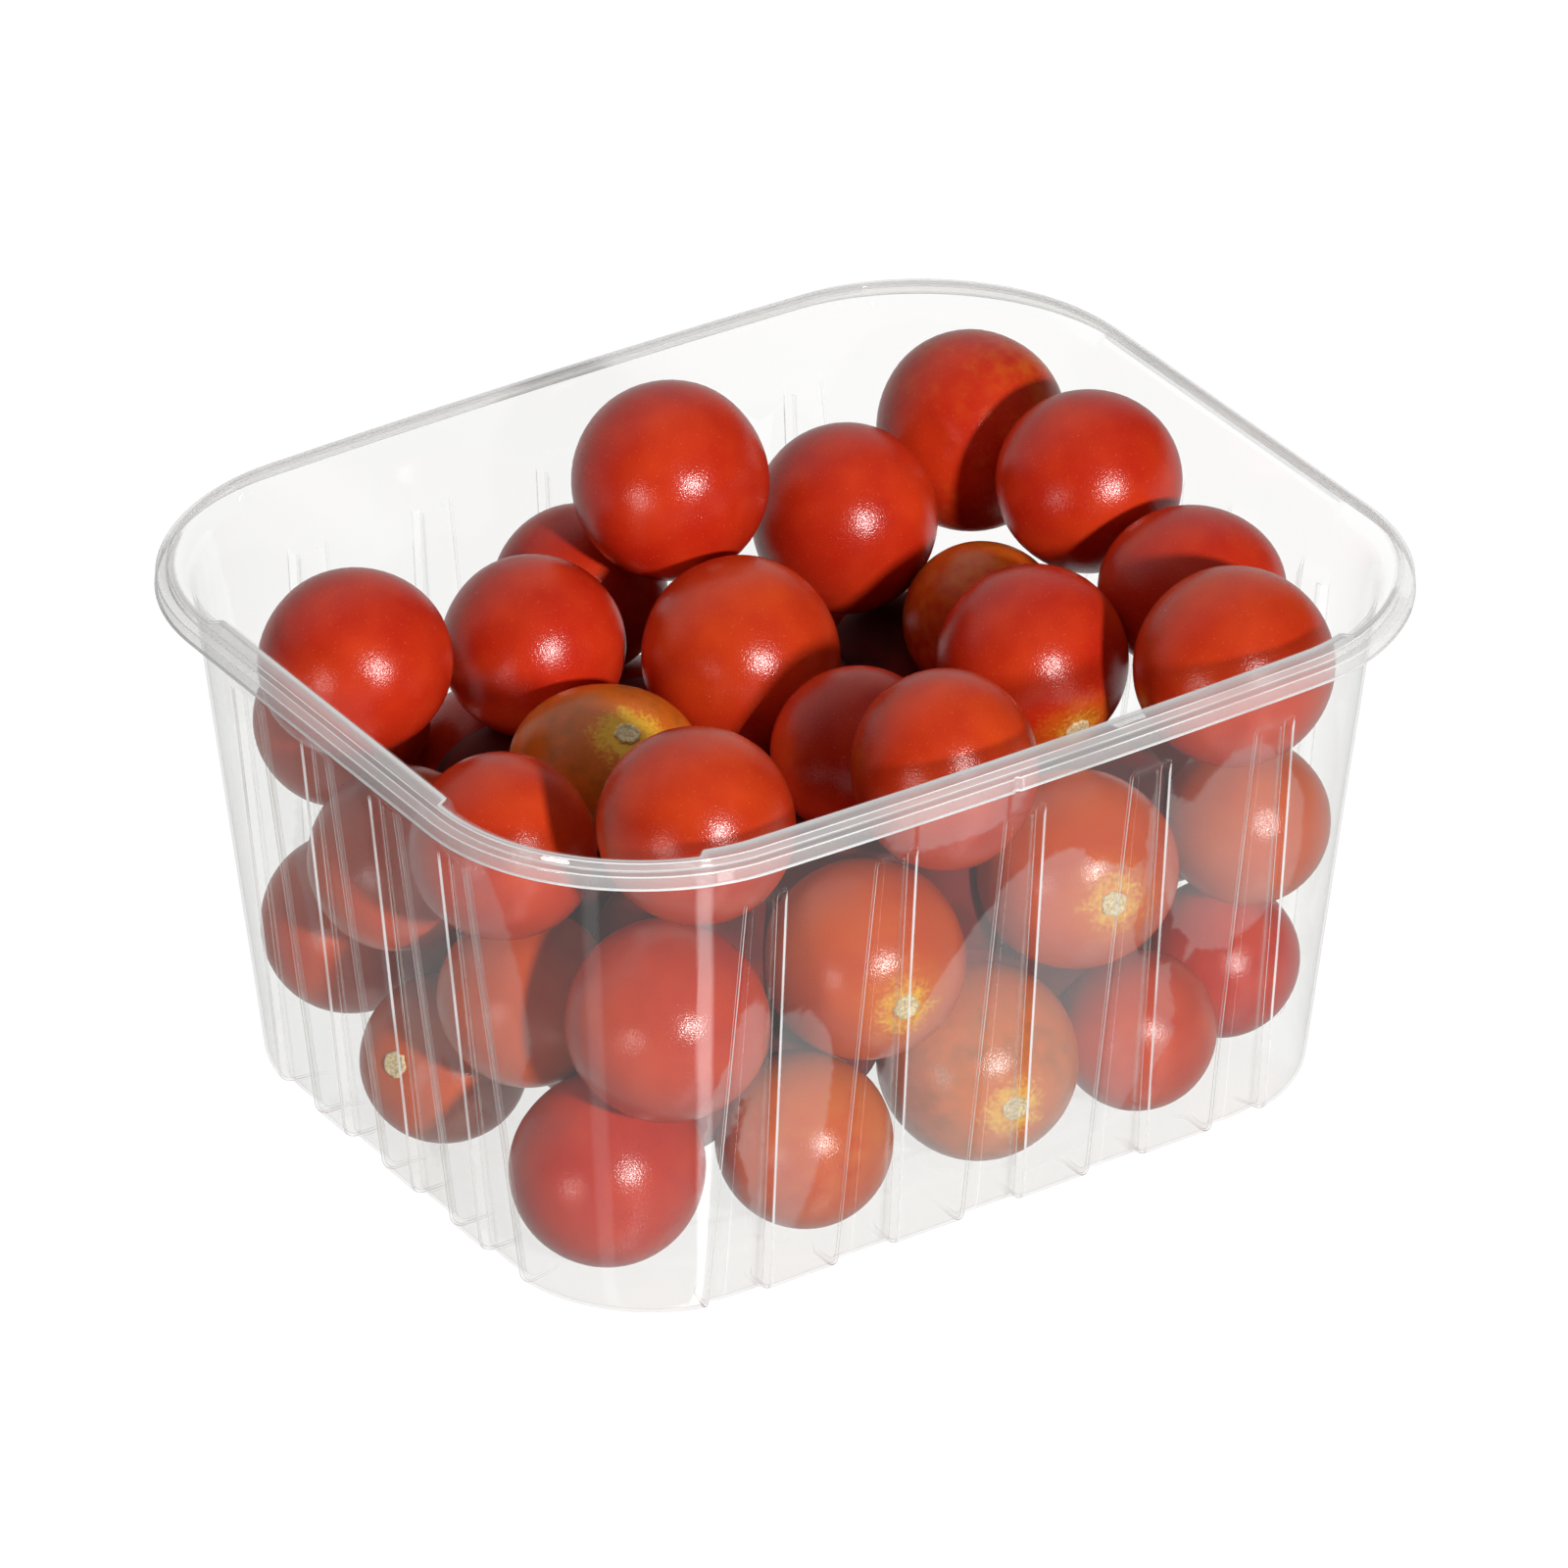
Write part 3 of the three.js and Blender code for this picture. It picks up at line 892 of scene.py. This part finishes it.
    def _point(self, station: Station, row: Row) -> Vector:
        """Where a station meets a row.

        Args:
            station: the upright line.
            row: the line round the shell.

        Returns:
            Their crossing, before the sheet's unevenness.
        """
        inset, z = row.inset, row.z
        if row.corner:
            notch = self.long_notch if station.side.is_long else self.short_notch
            ends = notch - self.notch_half, notch + self.notch_half
            share = smooth_share(abs(station.at_rim), *ends)
            inset, z = lerp(inset, row.corner[0], share), lerp(z, row.corner[1], share)
        if row.skirt:
            inset += self.joint_step * station.joint
        at = self.outline(z)
        on_long = station.side.is_long
        half_along, half_out = (at.half_x, at.half_y) if on_long else (at.half_y, at.half_x)
        straight = half_along - at.corner
        along = lerp(station.at_foot, station.at_rim, z / self.height)
        turn = max(abs(along) - straight, 0.0) / at.corner
        radius = at.corner - inset
        sign = math.copysign(1.0, along)
        across = sign * (min(abs(along), straight) + radius * math.sin(turn))
        out = half_out - at.corner + radius * math.cos(turn)
        out -= station.depth * row.grooved * self.groove_depth
        if on_long:
            out += at.bow * (1 - (across / at.half_x) ** 2) * math.cos(turn) ** self.bow_fade
        angle = station.side * math.pi / 2
        x = out * math.cos(angle) - across * math.sin(angle)
        y = out * math.sin(angle) + across * math.cos(angle)
        return Vector((x * row.shrink, y * row.shrink, z))

    def _trace(self, station: Station, row: Row, point: Vector) -> Vector:
        """What the film's look needs to know where a station meets a row.

        Args:
            station: the upright line.
            row: the line round the shell.
            point: where they meet.

        Returns:
            The painted highlight's strength, the depth inside the patches of painted reflection and
            the milkiness.
        """
        along = point.x if station.side.is_long else point.y
        depths = [
            reflection_patch.depth_inside(along, point.z) for reflection_patch in PAINTED_REFLECTION_PATCHES if reflection_patch.side == station.side
        ]
        clear = station.clear or not depths or row.line + row.milk > 0
        depth = -self.base_corner if clear else max(depths)
        # The painted highlights and the rim's milk, partly painted reflection, are weakened by
        # far_share on the walls without patches.
        share = 1.0 if depths else self.far_share
        line = max(station.line * row.grooved, row.line) * share
        return Vector((line, depth, row.milk * share))

    def _unevenness(self, point: Vector) -> Vector:
        """How far the drawn sheet strays at a point of the wall.

        Args:
            point: the point on an even sheet.

        Returns:
            The move to its real place, inward.
        """
        share = smooth_share(point.z, 3.0, 12.0) * smooth_share(point.z, 71.5, 60.0)
        flow = Vector((point.x / 14, point.y / 14, point.z / 34))
        inward = Vector((-point.x, -point.y, 0)).normalized()
        stray = 0.5 + noise.noise(flow) * 0.8 + noise.noise(flow * 2.7) * 0.25
        return inward * (max(stray, 0.0) * self.ripple * share)

    def build(self, finish: ClearFilm) -> bpy.types.Object:
        """Makes the tub.

        Args:
            finish: the film's look.

        Returns:
            The tub's object.
        """
        self._lay_stations()
        rows = self._floor_rows() + self._wall_rows() + self._rim_rows()
        mesh = bmesh.new()
        axis_point = mesh.verts.new((0, 0, -1))
        line = [axis_point] + [mesh.verts.new((1, 0, index)) for index in range(len(rows))]
        edges = [mesh.edges.new(pair) for pair in zip(line, line[1:])]
        bmesh.ops.spin(
            mesh, geom=line + edges, cent=(0, 0, 0), axis=(0, 0, 1), angle=math.tau,
            steps=len(self.stations), use_merge=True,
        )
        bmesh.ops.remove_doubles(mesh, verts=mesh.verts, dist=1e-4)
        trace = mesh.verts.layers.float_vector.new("trace")
        for vertex in mesh.verts:
            row = round(vertex.co.z)
            if row < 0:
                vertex.co = (0, 0, rows[0].z)
                continue
            turn = math.atan2(vertex.co.y, vertex.co.x) / math.tau
            station = self.stations[round(turn * len(self.stations)) % len(self.stations)]
            point = self._point(station, rows[row])
            vertex[trace] = self._trace(station, rows[row], point)
            vertex.co = point + self._unevenness(point)
        bmesh.ops.recalc_face_normals(mesh, faces=mesh.faces)
        floor = min(mesh.faces, key=lambda face: face.calc_center_median().xy.length)
        if floor.normal.z < 0:
            bmesh.ops.reverse_faces(mesh, faces=mesh.faces)
        tub = add_piece("clear_tub", mesh, finish.material())
        wall = tub.modifiers.new("sheet", "SOLIDIFY")
        wall.thickness = (self.sheet - self.slack) * MM
        wall.offset = -1
        wall.use_even_offset = True
        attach(tub, BODY)
        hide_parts("punnet")
        return tub


# ---- The tomatoes ----


class Layer(Enum):
    """Where in the heap a tomato lies; each layer is one piece."""

    TOP = "tomatoes_on_top"
    SECOND = "tomatoes_in_second_layer"
    FLOOR = "tomatoes_on_floor"
    INSIDE = "tomatoes_inside"


@dataclass
class Tomato:
    """One tomato as it lies, its middle and width in millimetres.

    The stem is the direction of its scar, as the camera sees it: right, up and towards it.
    Green is how unripe it is, warm how orange, and halo how strong the yellow round its stem
    is, each from 0 to about 1.
    """

    x: float
    y: float
    z: float
    width: float
    tall: float = 1.0
    stem: tuple[float, float, float] | None = None
    green: float = 0.0
    halo: float = 0.35
    warm: float = 0.0
    layer: Layer = Layer.INSIDE

    @property
    def middle(self) -> Vector:
        """The middle as a vector."""
        return Vector((self.x, self.y, self.z))

    @middle.setter
    def middle(self, place: Vector) -> None:
        """Moves the middle."""
        self.x, self.y, self.z = place


FLOOR_TOMATOES = (
    Tomato(-47, -30, 13, 25),
    Tomato(-21, -37, 12, 23, green=0.3, warm=0.4),
    Tomato(7, -35, 14, 26, stem=(0.375, -0.48, 0.79), green=0.42, halo=1.0, warm=0.3),
    Tomato(30, -37, 12, 21, warm=0.2),
    Tomato(48, -29, 12, 21),
    Tomato(-49, 6, 12, 22, stem=(-0.586, -0.057, 0.808), halo=0.5, warm=0.5),
    Tomato(-47, 30, 20, 24, warm=0.3),
)
SECOND_TOMATOES = (
    Tomato(-42, -36, 36, 26, warm=0.1),
    Tomato(-12, -36, 36, 26, stem=(0.413, -0.468, 0.781), halo=0.95, warm=0.45),
    Tomato(20, -37, 39, 26, stem=(0.356, -0.346, 0.868), halo=0.95, warm=0.4),
    Tomato(48, -35, 36, 22, green=0.1, warm=0.5),
    Tomato(-47, -12, 30, 23, warm=0.4),
    Tomato(-50, 13, 39, 24, warm=0.3),
    Tomato(-43, 38, 45, 23, warm=0.2),
)
TOP_TOMATOES = (
    Tomato(-39, -39, 66, 25, warm=0.1),
    Tomato(-2, -39, 62, 24, 1.1, warm=0.1),
    Tomato(44, -38, 62, 26, 0.98, warm=0.1),
    Tomato(-51, -13, 54, 24, warm=0.1),
    Tomato(-1, -18, 54, 22),
    Tomato(30, -14, 56, 25, stem=(0.474, -0.753, 0.457), halo=0.9),
    Tomato(54.5, -17, 60, 24.5, 0.86),
    Tomato(-27, 1, 52, 25, 0.75, stem=(0.24, 0.50, 0.83), green=0.42, halo=1.1, warm=0.45),
    Tomato(-3, 6, 57, 26, warm=0.1),
    Tomato(36, 8, 49, 21, green=0.3),
    Tomato(53, 8, 64, 24.6, 0.97),
    Tomato(-52, 20, 65, 25, 0.95),
    Tomato(-23, 23, 56, 24),
    Tomato(28, 27, 58, 24.6, 1.03),
    Tomato(51, 32, 61, 25, 1.1, green=0.25),
    Tomato(-6, 39, 52, 23),
    Tomato(0, 27, 71.5, 26),
)


def unit_ball(segments: int, rings: int) -> bpy.types.Mesh:
    """Makes a ball of radius 1 with its poles on the z axis.

    Args:
        segments: its faces round.
        rings: its faces from pole to pole.

    Returns:
        The ball's mesh.
    """
    ball = bmesh.new()
    bmesh.ops.create_uvsphere(ball, u_segments=segments, v_segments=rings, radius=1)
    data = bpy.data.meshes.new("unit_ball")
    ball.to_mesh(data)
    ball.free()
    return data


@dataclass
class Heap:
    """The tomatoes: those that show where they lie, and others that fill the tub below.

    Loose tomatoes are poured in layers, by a pitch in millimetres, and then settle. A stem
    that the photograph doesn't show points away from the camera.
    """

    tub: Punnet
    camera_axes: tuple[Vector, Vector, Vector]
    seed: int = 7
    wall_gap: float = 1.3
    floor_gap: float = 0.8
    layers: int = 3
    rise: float = 20.0
    pitch: float = 24.0
    start: float = 13.0
    row_pitch: float = 0.87
    row_shift: float = 0.3
    rows: int = 2
    columns: int = 3
    shake: float = 3.0
    narrowest: float = 22.0
    widest: float = 26.0
    snug: float = 0.86
    reach: float = 3.0
    settle_rounds: int = 120
    sink: float = 0.1
    hold: float = 0.2
    placed_share: float = 0.1
    ball_sizes: tuple[tuple[int, int], ...] = ((56, 36), (28, 18))
    core_ball_size: tuple[int, int] = (32, 20)
    core_radius: float = 12.6
    core_pitch: float = 20.0
    core_shift: float = 2.5
    core_levels: tuple[float, ...] = (20.0, 34.0)
    core_counts: tuple[int, int] = (4, 3)
    away: float = -0.15
    tomatoes: list[Tomato] = field(default_factory=list)

    def _confine(self, tomato: Tomato) -> None:
        """Moves a tomato in until it lies clear of the tub's walls and floor.

        Args:
            tomato: the tomato, which is changed.
        """
        radius = tomato.width / 2
        tomato.z = max(tomato.z, radius + self.floor_gap)
        at = self.tub.outline(tomato.z)
        room = at.corner - self.wall_gap - radius
        turn_x, turn_y = at.half_x - at.corner, at.half_y - at.corner
        past_x = max(abs(tomato.x) - turn_x, 0.0)
        past_y = max(abs(tomato.y) - turn_y, 0.0)
        past = math.hypot(past_x, past_y)
        if past <= room:
            return
        if past_x > 0:
            tomato.x = math.copysign(turn_x + past_x * room / past, tomato.x)
        if past_y > 0:
            tomato.y = math.copysign(turn_y + past_y * room / past, tomato.y)

    def _pour(self) -> None:
        """Adds tomatoes in the room that the placed ones leave, layer by layer."""
        chance = Chance(self.seed)
        for layer in range(self.layers):
            for row in range(-self.rows, self.rows + 1):
                for column in range(-self.columns, self.columns + 1):
                    odd = abs(row + layer) % 2
                    x = self.pitch * (column + odd / 2) + (chance.draw() - 0.5) * self.shake
                    across = self.row_pitch * row + self.row_shift * (layer % 2)
                    y = self.pitch * across + (chance.draw() - 0.5) * self.shake
                    width = lerp(self.narrowest, self.widest, chance.draw())
                    newcomer = Tomato(x, y, self.start + self.rise * layer, width)
                    if self._has_room(newcomer):
                        self.tomatoes.append(newcomer)

    def _has_room(self, newcomer: Tomato) -> bool:
        """Whether a newcomer finds room, after it is moved in from the wall.

        Args:
            newcomer: the tomato to be poured.

        Returns:
            True when it starts inside the tub and clear of the others.
        """
        at = self.tub.outline(newcomer.z)
        slack = self.reach - newcomer.width / 2
        if abs(newcomer.x) > at.half_x + slack or abs(newcomer.y) > at.half_y + slack:
            return False
        self._confine(newcomer)
        for other in self.tomatoes:
            near = self.snug * (newcomer.width + other.width) / 2
            if (newcomer.middle - other.middle).length < near:
                return False
        return True

    def _push_apart(self, one: Tomato, other: Tomato) -> None:
        """Pushes two crossing tomatoes apart; a placed one gives way least.

        Args:
            one: a tomato.
            other: the tomato that may cross it.
        """
        touching = (one.width + other.width) / 2
        if abs(other.x - one.x) >= touching or abs(other.y - one.y) >= touching:
            return
        way = other.middle - one.middle
        crossing = touching - way.length
        if crossing <= 0:
            return
        one_inside, other_inside = one.layer is Layer.INSIDE, other.layer is Layer.INSIDE
        share = 0.5
        if one_inside != other_inside:
            share = 1 - self.placed_share if other_inside else self.placed_share
        push = way.normalized() * crossing
        one.middle -= push * (1 - share)
        other.middle += push * share

    def _settle(self) -> None:
        """Lets the loose tomatoes sink and roll until they rest against each other."""
        homes = [tomato.middle for tomato in self.tomatoes]
        for _ in range(self.settle_rounds):
            for tomato, home in zip(self.tomatoes, homes):
                if tomato.layer is Layer.INSIDE:
                    tomato.z -= self.sink
                else:
                    tomato.middle += (home - tomato.middle) * self.hold
            for index, one in enumerate(self.tomatoes):
                for other in self.tomatoes[index + 1:]:
                    self._push_apart(one, other)
            for tomato in self.tomatoes:
                self._confine(tomato)

    def lay(self) -> None:
        """Lays every tomato where it comes to rest."""
        groups = (FLOOR_TOMATOES, SECOND_TOMATOES, TOP_TOMATOES)
        for group, layer in zip(groups, (Layer.FLOOR, Layer.SECOND, Layer.TOP)):
            for tomato in group:
                tomato.layer = layer
                self.tomatoes.append(tomato)
        self._pour()
        self._settle()

    def _stem_way(self, tomato: Tomato, chance: Chance) -> Vector:
        """Chooses the direction of a tomato's stem.

        Args:
            tomato: the tomato.
            chance: the random source, for a stem that faces away from the camera.

        Returns:
            The direction, in the tub's own axes.
        """
        right, up, back = self.camera_axes
        if tomato.stem:
            across, upward, ahead = tomato.stem
            return (right * across + up * upward + back * ahead).normalized()
        way = chance.direction()
        while way.dot(back) > self.away:
            way = chance.direction()
        return way

    def build(self, skin: TomatoSkin, cork: Cork, depth: PaintedShadeRed) -> list[bpy.types.Object]:
        """Makes every tomato with its stem scar, and the core they lie round.

        Args:
            skin: the tomatoes' finish.
            cork: the scars' finish.
            depth: the core's finish, dark red painted shade.

        Returns:
            One object for each layer, one for the scars and one for the core.
        """
        chance = Chance(self.seed + 4)
        shown_ball, hidden_ball = (unit_ball(*size) for size in self.ball_sizes)
        skin_material = skin.material()
        scars = bmesh.new()
        pieces = []
        for layer in Layer:
            ball = hidden_ball if layer is Layer.INSIDE else shown_ball
            mesh = bmesh.new()
            mesh.verts.layers.float_vector.new("own")
            mesh.verts.layers.float_vector.new("nature")
            for tomato in self.tomatoes:
                if tomato.layer is layer:
                    shape = TomatoShape(tomato, self._stem_way(tomato, chance), chance)
                    shape.add_body(mesh, ball)
                    shape.add_scar(scars)
            pieces.append(add_piece(layer.value, mesh, skin_material))
        pieces.append(add_piece("stem_scars", scars, cork.material()))
        pieces.append(self._core(depth.material()))
        for piece in pieces:
            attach(piece, BODY)
            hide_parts("tomato_heap")
        return pieces

    def _core(self, material: bpy.types.Material) -> bpy.types.Object:
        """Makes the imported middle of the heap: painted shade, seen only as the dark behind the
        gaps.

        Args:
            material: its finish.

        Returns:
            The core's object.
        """
        mesh = bmesh.new()
        columns, rows = self.core_counts
        segments, rings = self.core_ball_size
        for level, z in enumerate(self.core_levels):
            for row in range(rows):
                for column in range(columns):
                    shift = self.core_shift if (row + level) % 2 else -self.core_shift
                    x = (column - (columns - 1) / 2) * self.core_pitch + shift
                    y = (row - (rows - 1) / 2) * self.core_pitch
                    bmesh.ops.create_uvsphere(
                        mesh, u_segments=segments, v_segments=rings, radius=self.core_radius,
                        matrix=Matrix.Translation((x, y, z)),
                    )
        return add_piece("packed_core", mesh, material)


class TomatoShape:
    """The form of one tomato: its lobes, stem hollow and scar."""

    skin_level = 0.992
    two_sided = 0.012
    three_sided = 0.008
    stretch = 0.02
    swell = 0.012
    swell_scale = 1.3
    noise_reach = 50.0
    dimple_depth = 0.055
    dimple_width = 0.24
    dimple_share = (0.7, 0.5)
    tip_depth = 0.012
    tip_width = 0.12
    scar_radius = 1.7
    scar_sides = 22
    scar_depth = 0.025
    scar_height = 0.045
    scar_rings = ((0.12, 0.022), (0.22, -0.02), (0.3, 0.004))
    scar_rag = 0.22
    rag_scale = 3
    scar_grain = 0.012
    grain_scale = 30

    def __init__(self, tomato: Tomato, stem: Vector, chance: Chance) -> None:
        """Draws the tomato's own unevenness.

        Args:
            tomato: the tomato as it lies.
            stem: the direction of its stem.
            chance: the random source.
        """
        self.tomato = tomato
        self.turn = stem.to_track_quat("Z", "Y").to_matrix()
        self.turn = self.turn @ Matrix.Rotation(chance.draw() * math.tau, 3, "Z")
        self.two_lobes = chance.draw() * self.two_sided
        self.three_lobes = chance.draw() * self.three_sided
        self.long = chance.spread(self.stretch)
        self.start = Vector([chance.spread(self.noise_reach) for _ in range(3)])
        least, more = self.dimple_share
        self.dimple = self.dimple_depth * (least + more * chance.draw())

    def _place(self, own: Vector) -> Vector:
        """Finds where a point of the tomato is.

        Args:
            own: the point in the tomato's own frame, in radii.

        Returns:
            Its place in the tub.
        """
        point = self.turn @ (own * (self.tomato.width / 2))
        point.z *= self.tomato.tall
        return point + self.tomato.middle

    def _radius(self, way: Vector) -> float:
        """How far out the skin is.

        Args:
            way: the direction, of length 1.

        Returns:
            The distance in radii.
        """
        across = 1 - way.z * way.z
        turn = math.atan2(way.y, way.x)
        radius = self.skin_level + self.two_lobes * math.cos(2 * turn) * across
        radius += self.three_lobes * math.cos(3 * turn) * across
        radius += self.long * (way.z * way.z - 1 / 3)
        radius += self.swell * noise.noise(way * self.swell_scale + self.start)
        stem_angle = math.acos(max(-1.0, min(1.0, way.z)))
        radius -= self.dimple * math.exp(-((stem_angle / self.dimple_width) ** 2))
        radius -= self.tip_depth * math.exp(-(((math.pi - stem_angle) / self.tip_width) ** 2))
        return radius

    def add_body(self, mesh: bmesh.types.BMesh, ball: bpy.types.Mesh) -> None:
        """Adds the skin, shaped from a plain ball.

        Args:
            mesh: the layer's mesh, which is changed.
            ball: the plain ball, of radius 1.
        """
        others = len(mesh.verts)
        mesh.from_mesh(ball)
        mesh.verts.ensure_lookup_table()
        own = mesh.verts.layers.float_vector["own"]
        nature = mesh.verts.layers.float_vector["nature"]
        for vertex in mesh.verts[others:]:
            way = vertex.co.normalized()
            vertex[own] = way
            vertex[nature] = (self.tomato.green, self.tomato.halo, self.tomato.warm)
            vertex.co = self._place(way * self._radius(way))

    def add_scar(self, mesh: bmesh.types.BMesh) -> None:
        """Adds the stem scar, a small disc with a raised ragged ring.

        Args:
            mesh: the scars' mesh, which is changed.
        """
        radius = self.scar_radius / (self.tomato.width / 2)
        foot = self._radius(Vector((0, 0, 1))) - self.scar_depth
        others = set(mesh.verts)
        disc = bmesh.ops.create_circle(
            mesh, cap_ends=True, segments=self.scar_sides, radius=radius,
            matrix=Matrix.Translation((0, 0, foot)),
        )
        walls = bmesh.ops.extrude_face_region(mesh, geom=list(disc["verts"][0].link_faces))
        inner = [item for item in walls["geom"] if isinstance(item, bmesh.types.BMFace)]
        bmesh.ops.translate(mesh, vec=(0, 0, self.scar_height), verts=inner[0].verts)
        for thickness, depth in self.scar_rings:
            bmesh.ops.inset_region(mesh, faces=inner, thickness=radius * thickness, depth=depth)
        for vertex in (vertex for vertex in mesh.verts if vertex not in others):
            turn = math.atan2(vertex.co.y, vertex.co.x)
            across, along = math.cos(turn) * self.rag_scale, math.sin(turn) * self.rag_scale
            rag = 1 + self.scar_rag * noise.noise(Vector((across, along, self.start.x)))
            vertex.co = vertex.co * Vector((rag, rag, 1))
            grain = noise.noise(vertex.co * self.grain_scale + self.start)
            vertex.co.z += self.scar_grain * grain
            vertex.co = self._place(vertex.co)


# ---- The studio ----


@dataclass(frozen=True)
class Lamp:
    """A round light: its direction and size in degrees, as seen from the punnet, and watts."""

    name: str
    azimuth: float
    elevation: float
    size: float
    power: float


@dataclass
class Studio:
    """The pale table, the soft room light, a small strong key light, and the camera.

    An azimuth of 0 is straight in front of the long wall, and one below 0 is to the left.
    """

    azimuth: float = math.radians(-33.56)
    elevation: float = math.radians(30.65)
    distance: float = 1.72655
    target_height: float = 0.03922
    lens: float = 309.25
    sensor: float = 36.0
    frame_size: float = 1600.0
    shift: tuple[float, float] = (-1.1, 4.94)
    floor_half: float = 4.0
    floor_drop: float = 0.05
    light_distance: float = 2.0
    lamps: tuple[Lamp, ...] = (
        Lamp("key", -5.8, 21.8, 4.5, 34.0), Lamp("fill", -70.0, 4.0, 12.0, 7.5),
    )
    film_layers: int = 32
    room: float = 0.02
    backdrop: float = 0.7
    backdrop_way: Colour = (0.0, 0.97, 0.24)
    backdrop_span: tuple[float, float] = (0.25, 0.75)
    overhead: float = 0.75
    overhead_way: Colour = (0.1, 0.3, 0.95)
    overhead_span: tuple[float, float] = (0.35, 0.95)
    table_bounce: float = 0.20
    table_shine: tuple[float, float] = (0.9, 0.8)
    shine_span: tuple[float, float] = (-0.2, 0.5)
    shine_streaks: tuple[tuple[float, float], ...] = ((3.0, 4.5), (-64.0, 0.8))
    streak_edge: tuple[float, float] = (0.007, 0.0005)
    streak_start: tuple[float, float] = (0.1, 0.3)
    horizon: tuple[float, float] = (0.02, -0.02)

    def camera_axes(self) -> tuple[Vector, Vector, Vector]:
        """Finds the photograph's own directions.

        Returns:
            Its right, its up and the way back to the camera.
        """
        level = math.cos(self.elevation)
        back = Vector((
            math.sin(self.azimuth) * level,
            -math.cos(self.azimuth) * level,
            math.sin(self.elevation),
        ))
        right = Vector((math.cos(self.azimuth), math.sin(self.azimuth), 0))
        return right, back.cross(right), back

    def _camera(self) -> None:
        """Sets the camera where the photograph was taken from."""
        _, _, back = self.camera_axes()
        data = bpy.data.cameras.new("camera")
        data.lens = self.lens
        data.sensor_width = self.sensor
        data.shift_x = self.shift[0] / self.frame_size
        data.shift_y = self.shift[1] / self.frame_size
        camera = bpy.data.objects.new("camera", data)
        camera.location = Vector((0, 0, self.target_height)) + back * self.distance
        camera.rotation_euler = back.to_track_quat("Z", "Y").to_euler()
        bpy.context.scene.collection.objects.link(camera)
        bpy.context.scene.camera = camera

    def _light(self, lamp: Lamp) -> None:
        """Adds a round light that faces the punnet.

        Args:
            lamp: what it is like.
        """
        turn, rise = math.radians(lamp.azimuth), math.radians(lamp.elevation)
        level = math.cos(rise)
        way = Vector((math.sin(turn) * level, -math.cos(turn) * level, math.sin(rise)))
        data = bpy.data.lights.new(lamp.name, "AREA")
        data.shape = "DISK"
        data.size = 2 * self.light_distance * math.tan(math.radians(lamp.size) / 2)
        data.energy = lamp.power
        light = bpy.data.objects.new(lamp.name, data)
        light.location = Vector((0, 0, self.target_height)) + way * self.light_distance
        light.rotation_euler = way.to_track_quat("Z", "Y").to_euler()
        bpy.context.scene.collection.objects.link(light)

    def _room(self) -> None:
        """Lights the scene softly from above, and gives gloss a white wall and table to mirror."""
        shader = Shader(bpy.data.worlds.new("room"))
        way = shader.node("TexCoord", None, None, "Generated")
        mirrored = shader.node("LightPath", None, None, "Is Glossy Ray")
        backward = shader.dot(way, self.backdrop_way)
        upward = shader.dot(way, self.overhead_way)
        wall = backward.step(*self.backdrop_span) * self.backdrop * mirrored
        softbox = upward.step(*self.overhead_span) * self.overhead * (1 - mirrored)
        above = wall + softbox + self.room
        front, back = self.table_shine
        shine = shader.part(way, "Y").step(*self.shine_span) * (back - front) + front
        for azimuth, strength in self.shine_streaks:
            shine = shine + self._streak(shader, way, azimuth) * strength
        below = mirrored * (shine - self.table_bounce) + self.table_bounce
        is_below = shader.part(way, "Z").step(*self.horizon)
        light = above * (1 - is_below) + below * is_below
        background = shader.node("Background", None, {"Strength": light})
        bpy.context.scene.world = shader.finish(background)

    def _streak(self, shader: Shader, way: Wire, azimuth: float) -> Wire:
        """Draws a lamp's long streak on the table.

        Args:
            shader: the world's shader.
            way: the direction looked in.
            azimuth: where the streak goes, in degrees.

        Returns:
            Its strength, 0 to 1.
        """
        turn = math.radians(azimuth)
        ahead = shader.dot(way, (math.sin(turn), -math.cos(turn), 0.0))
        sideways = shader.dot(way, (math.cos(turn), math.sin(turn), 0.0))
        return (sideways * sideways).step(*self.streak_edge) * ahead.step(*self.streak_start)

    def build(self, table: WhiteTable) -> None:
        """Makes the table, the lights and the camera.

        Args:
            table: the table's finish.
        """
        mesh = bmesh.new()
        bmesh.ops.create_grid(mesh, x_segments=2, y_segments=2, size=self.floor_half / MM)
        bmesh.ops.translate(mesh, vec=(0, 0, -self.floor_drop), verts=mesh.verts)
        table_top = add_piece("table", mesh, table.material())
        table_top.visible_diffuse = False
        table_top.visible_glossy = False
        self._camera()
        self._room()
        for lamp in self.lamps:
            self._light(lamp)
        scene = bpy.context.scene
        scene.view_settings.view_transform = "Standard"
        scene.cycles.transparent_max_bounces = self.film_layers


def main() -> None:
    """Builds the punnet, its tomatoes and the studio."""
    logging.basicConfig(level=logging.INFO, format="%(message)s")
    studio = Studio()
    tub = Punnet()
    pieces = [tub.build(ClearFilm())]
    heap = Heap(tub, studio.camera_axes())
    heap.lay()
    pieces += heap.build(TomatoSkin(), Cork(), PaintedShadeRed())
    studio.build(WhiteTable())
    for piece in pieces:
        LOG.info("%s: %d faces", piece.name, len(piece.data.polygons))


if __name__ == "__main__":
    main()
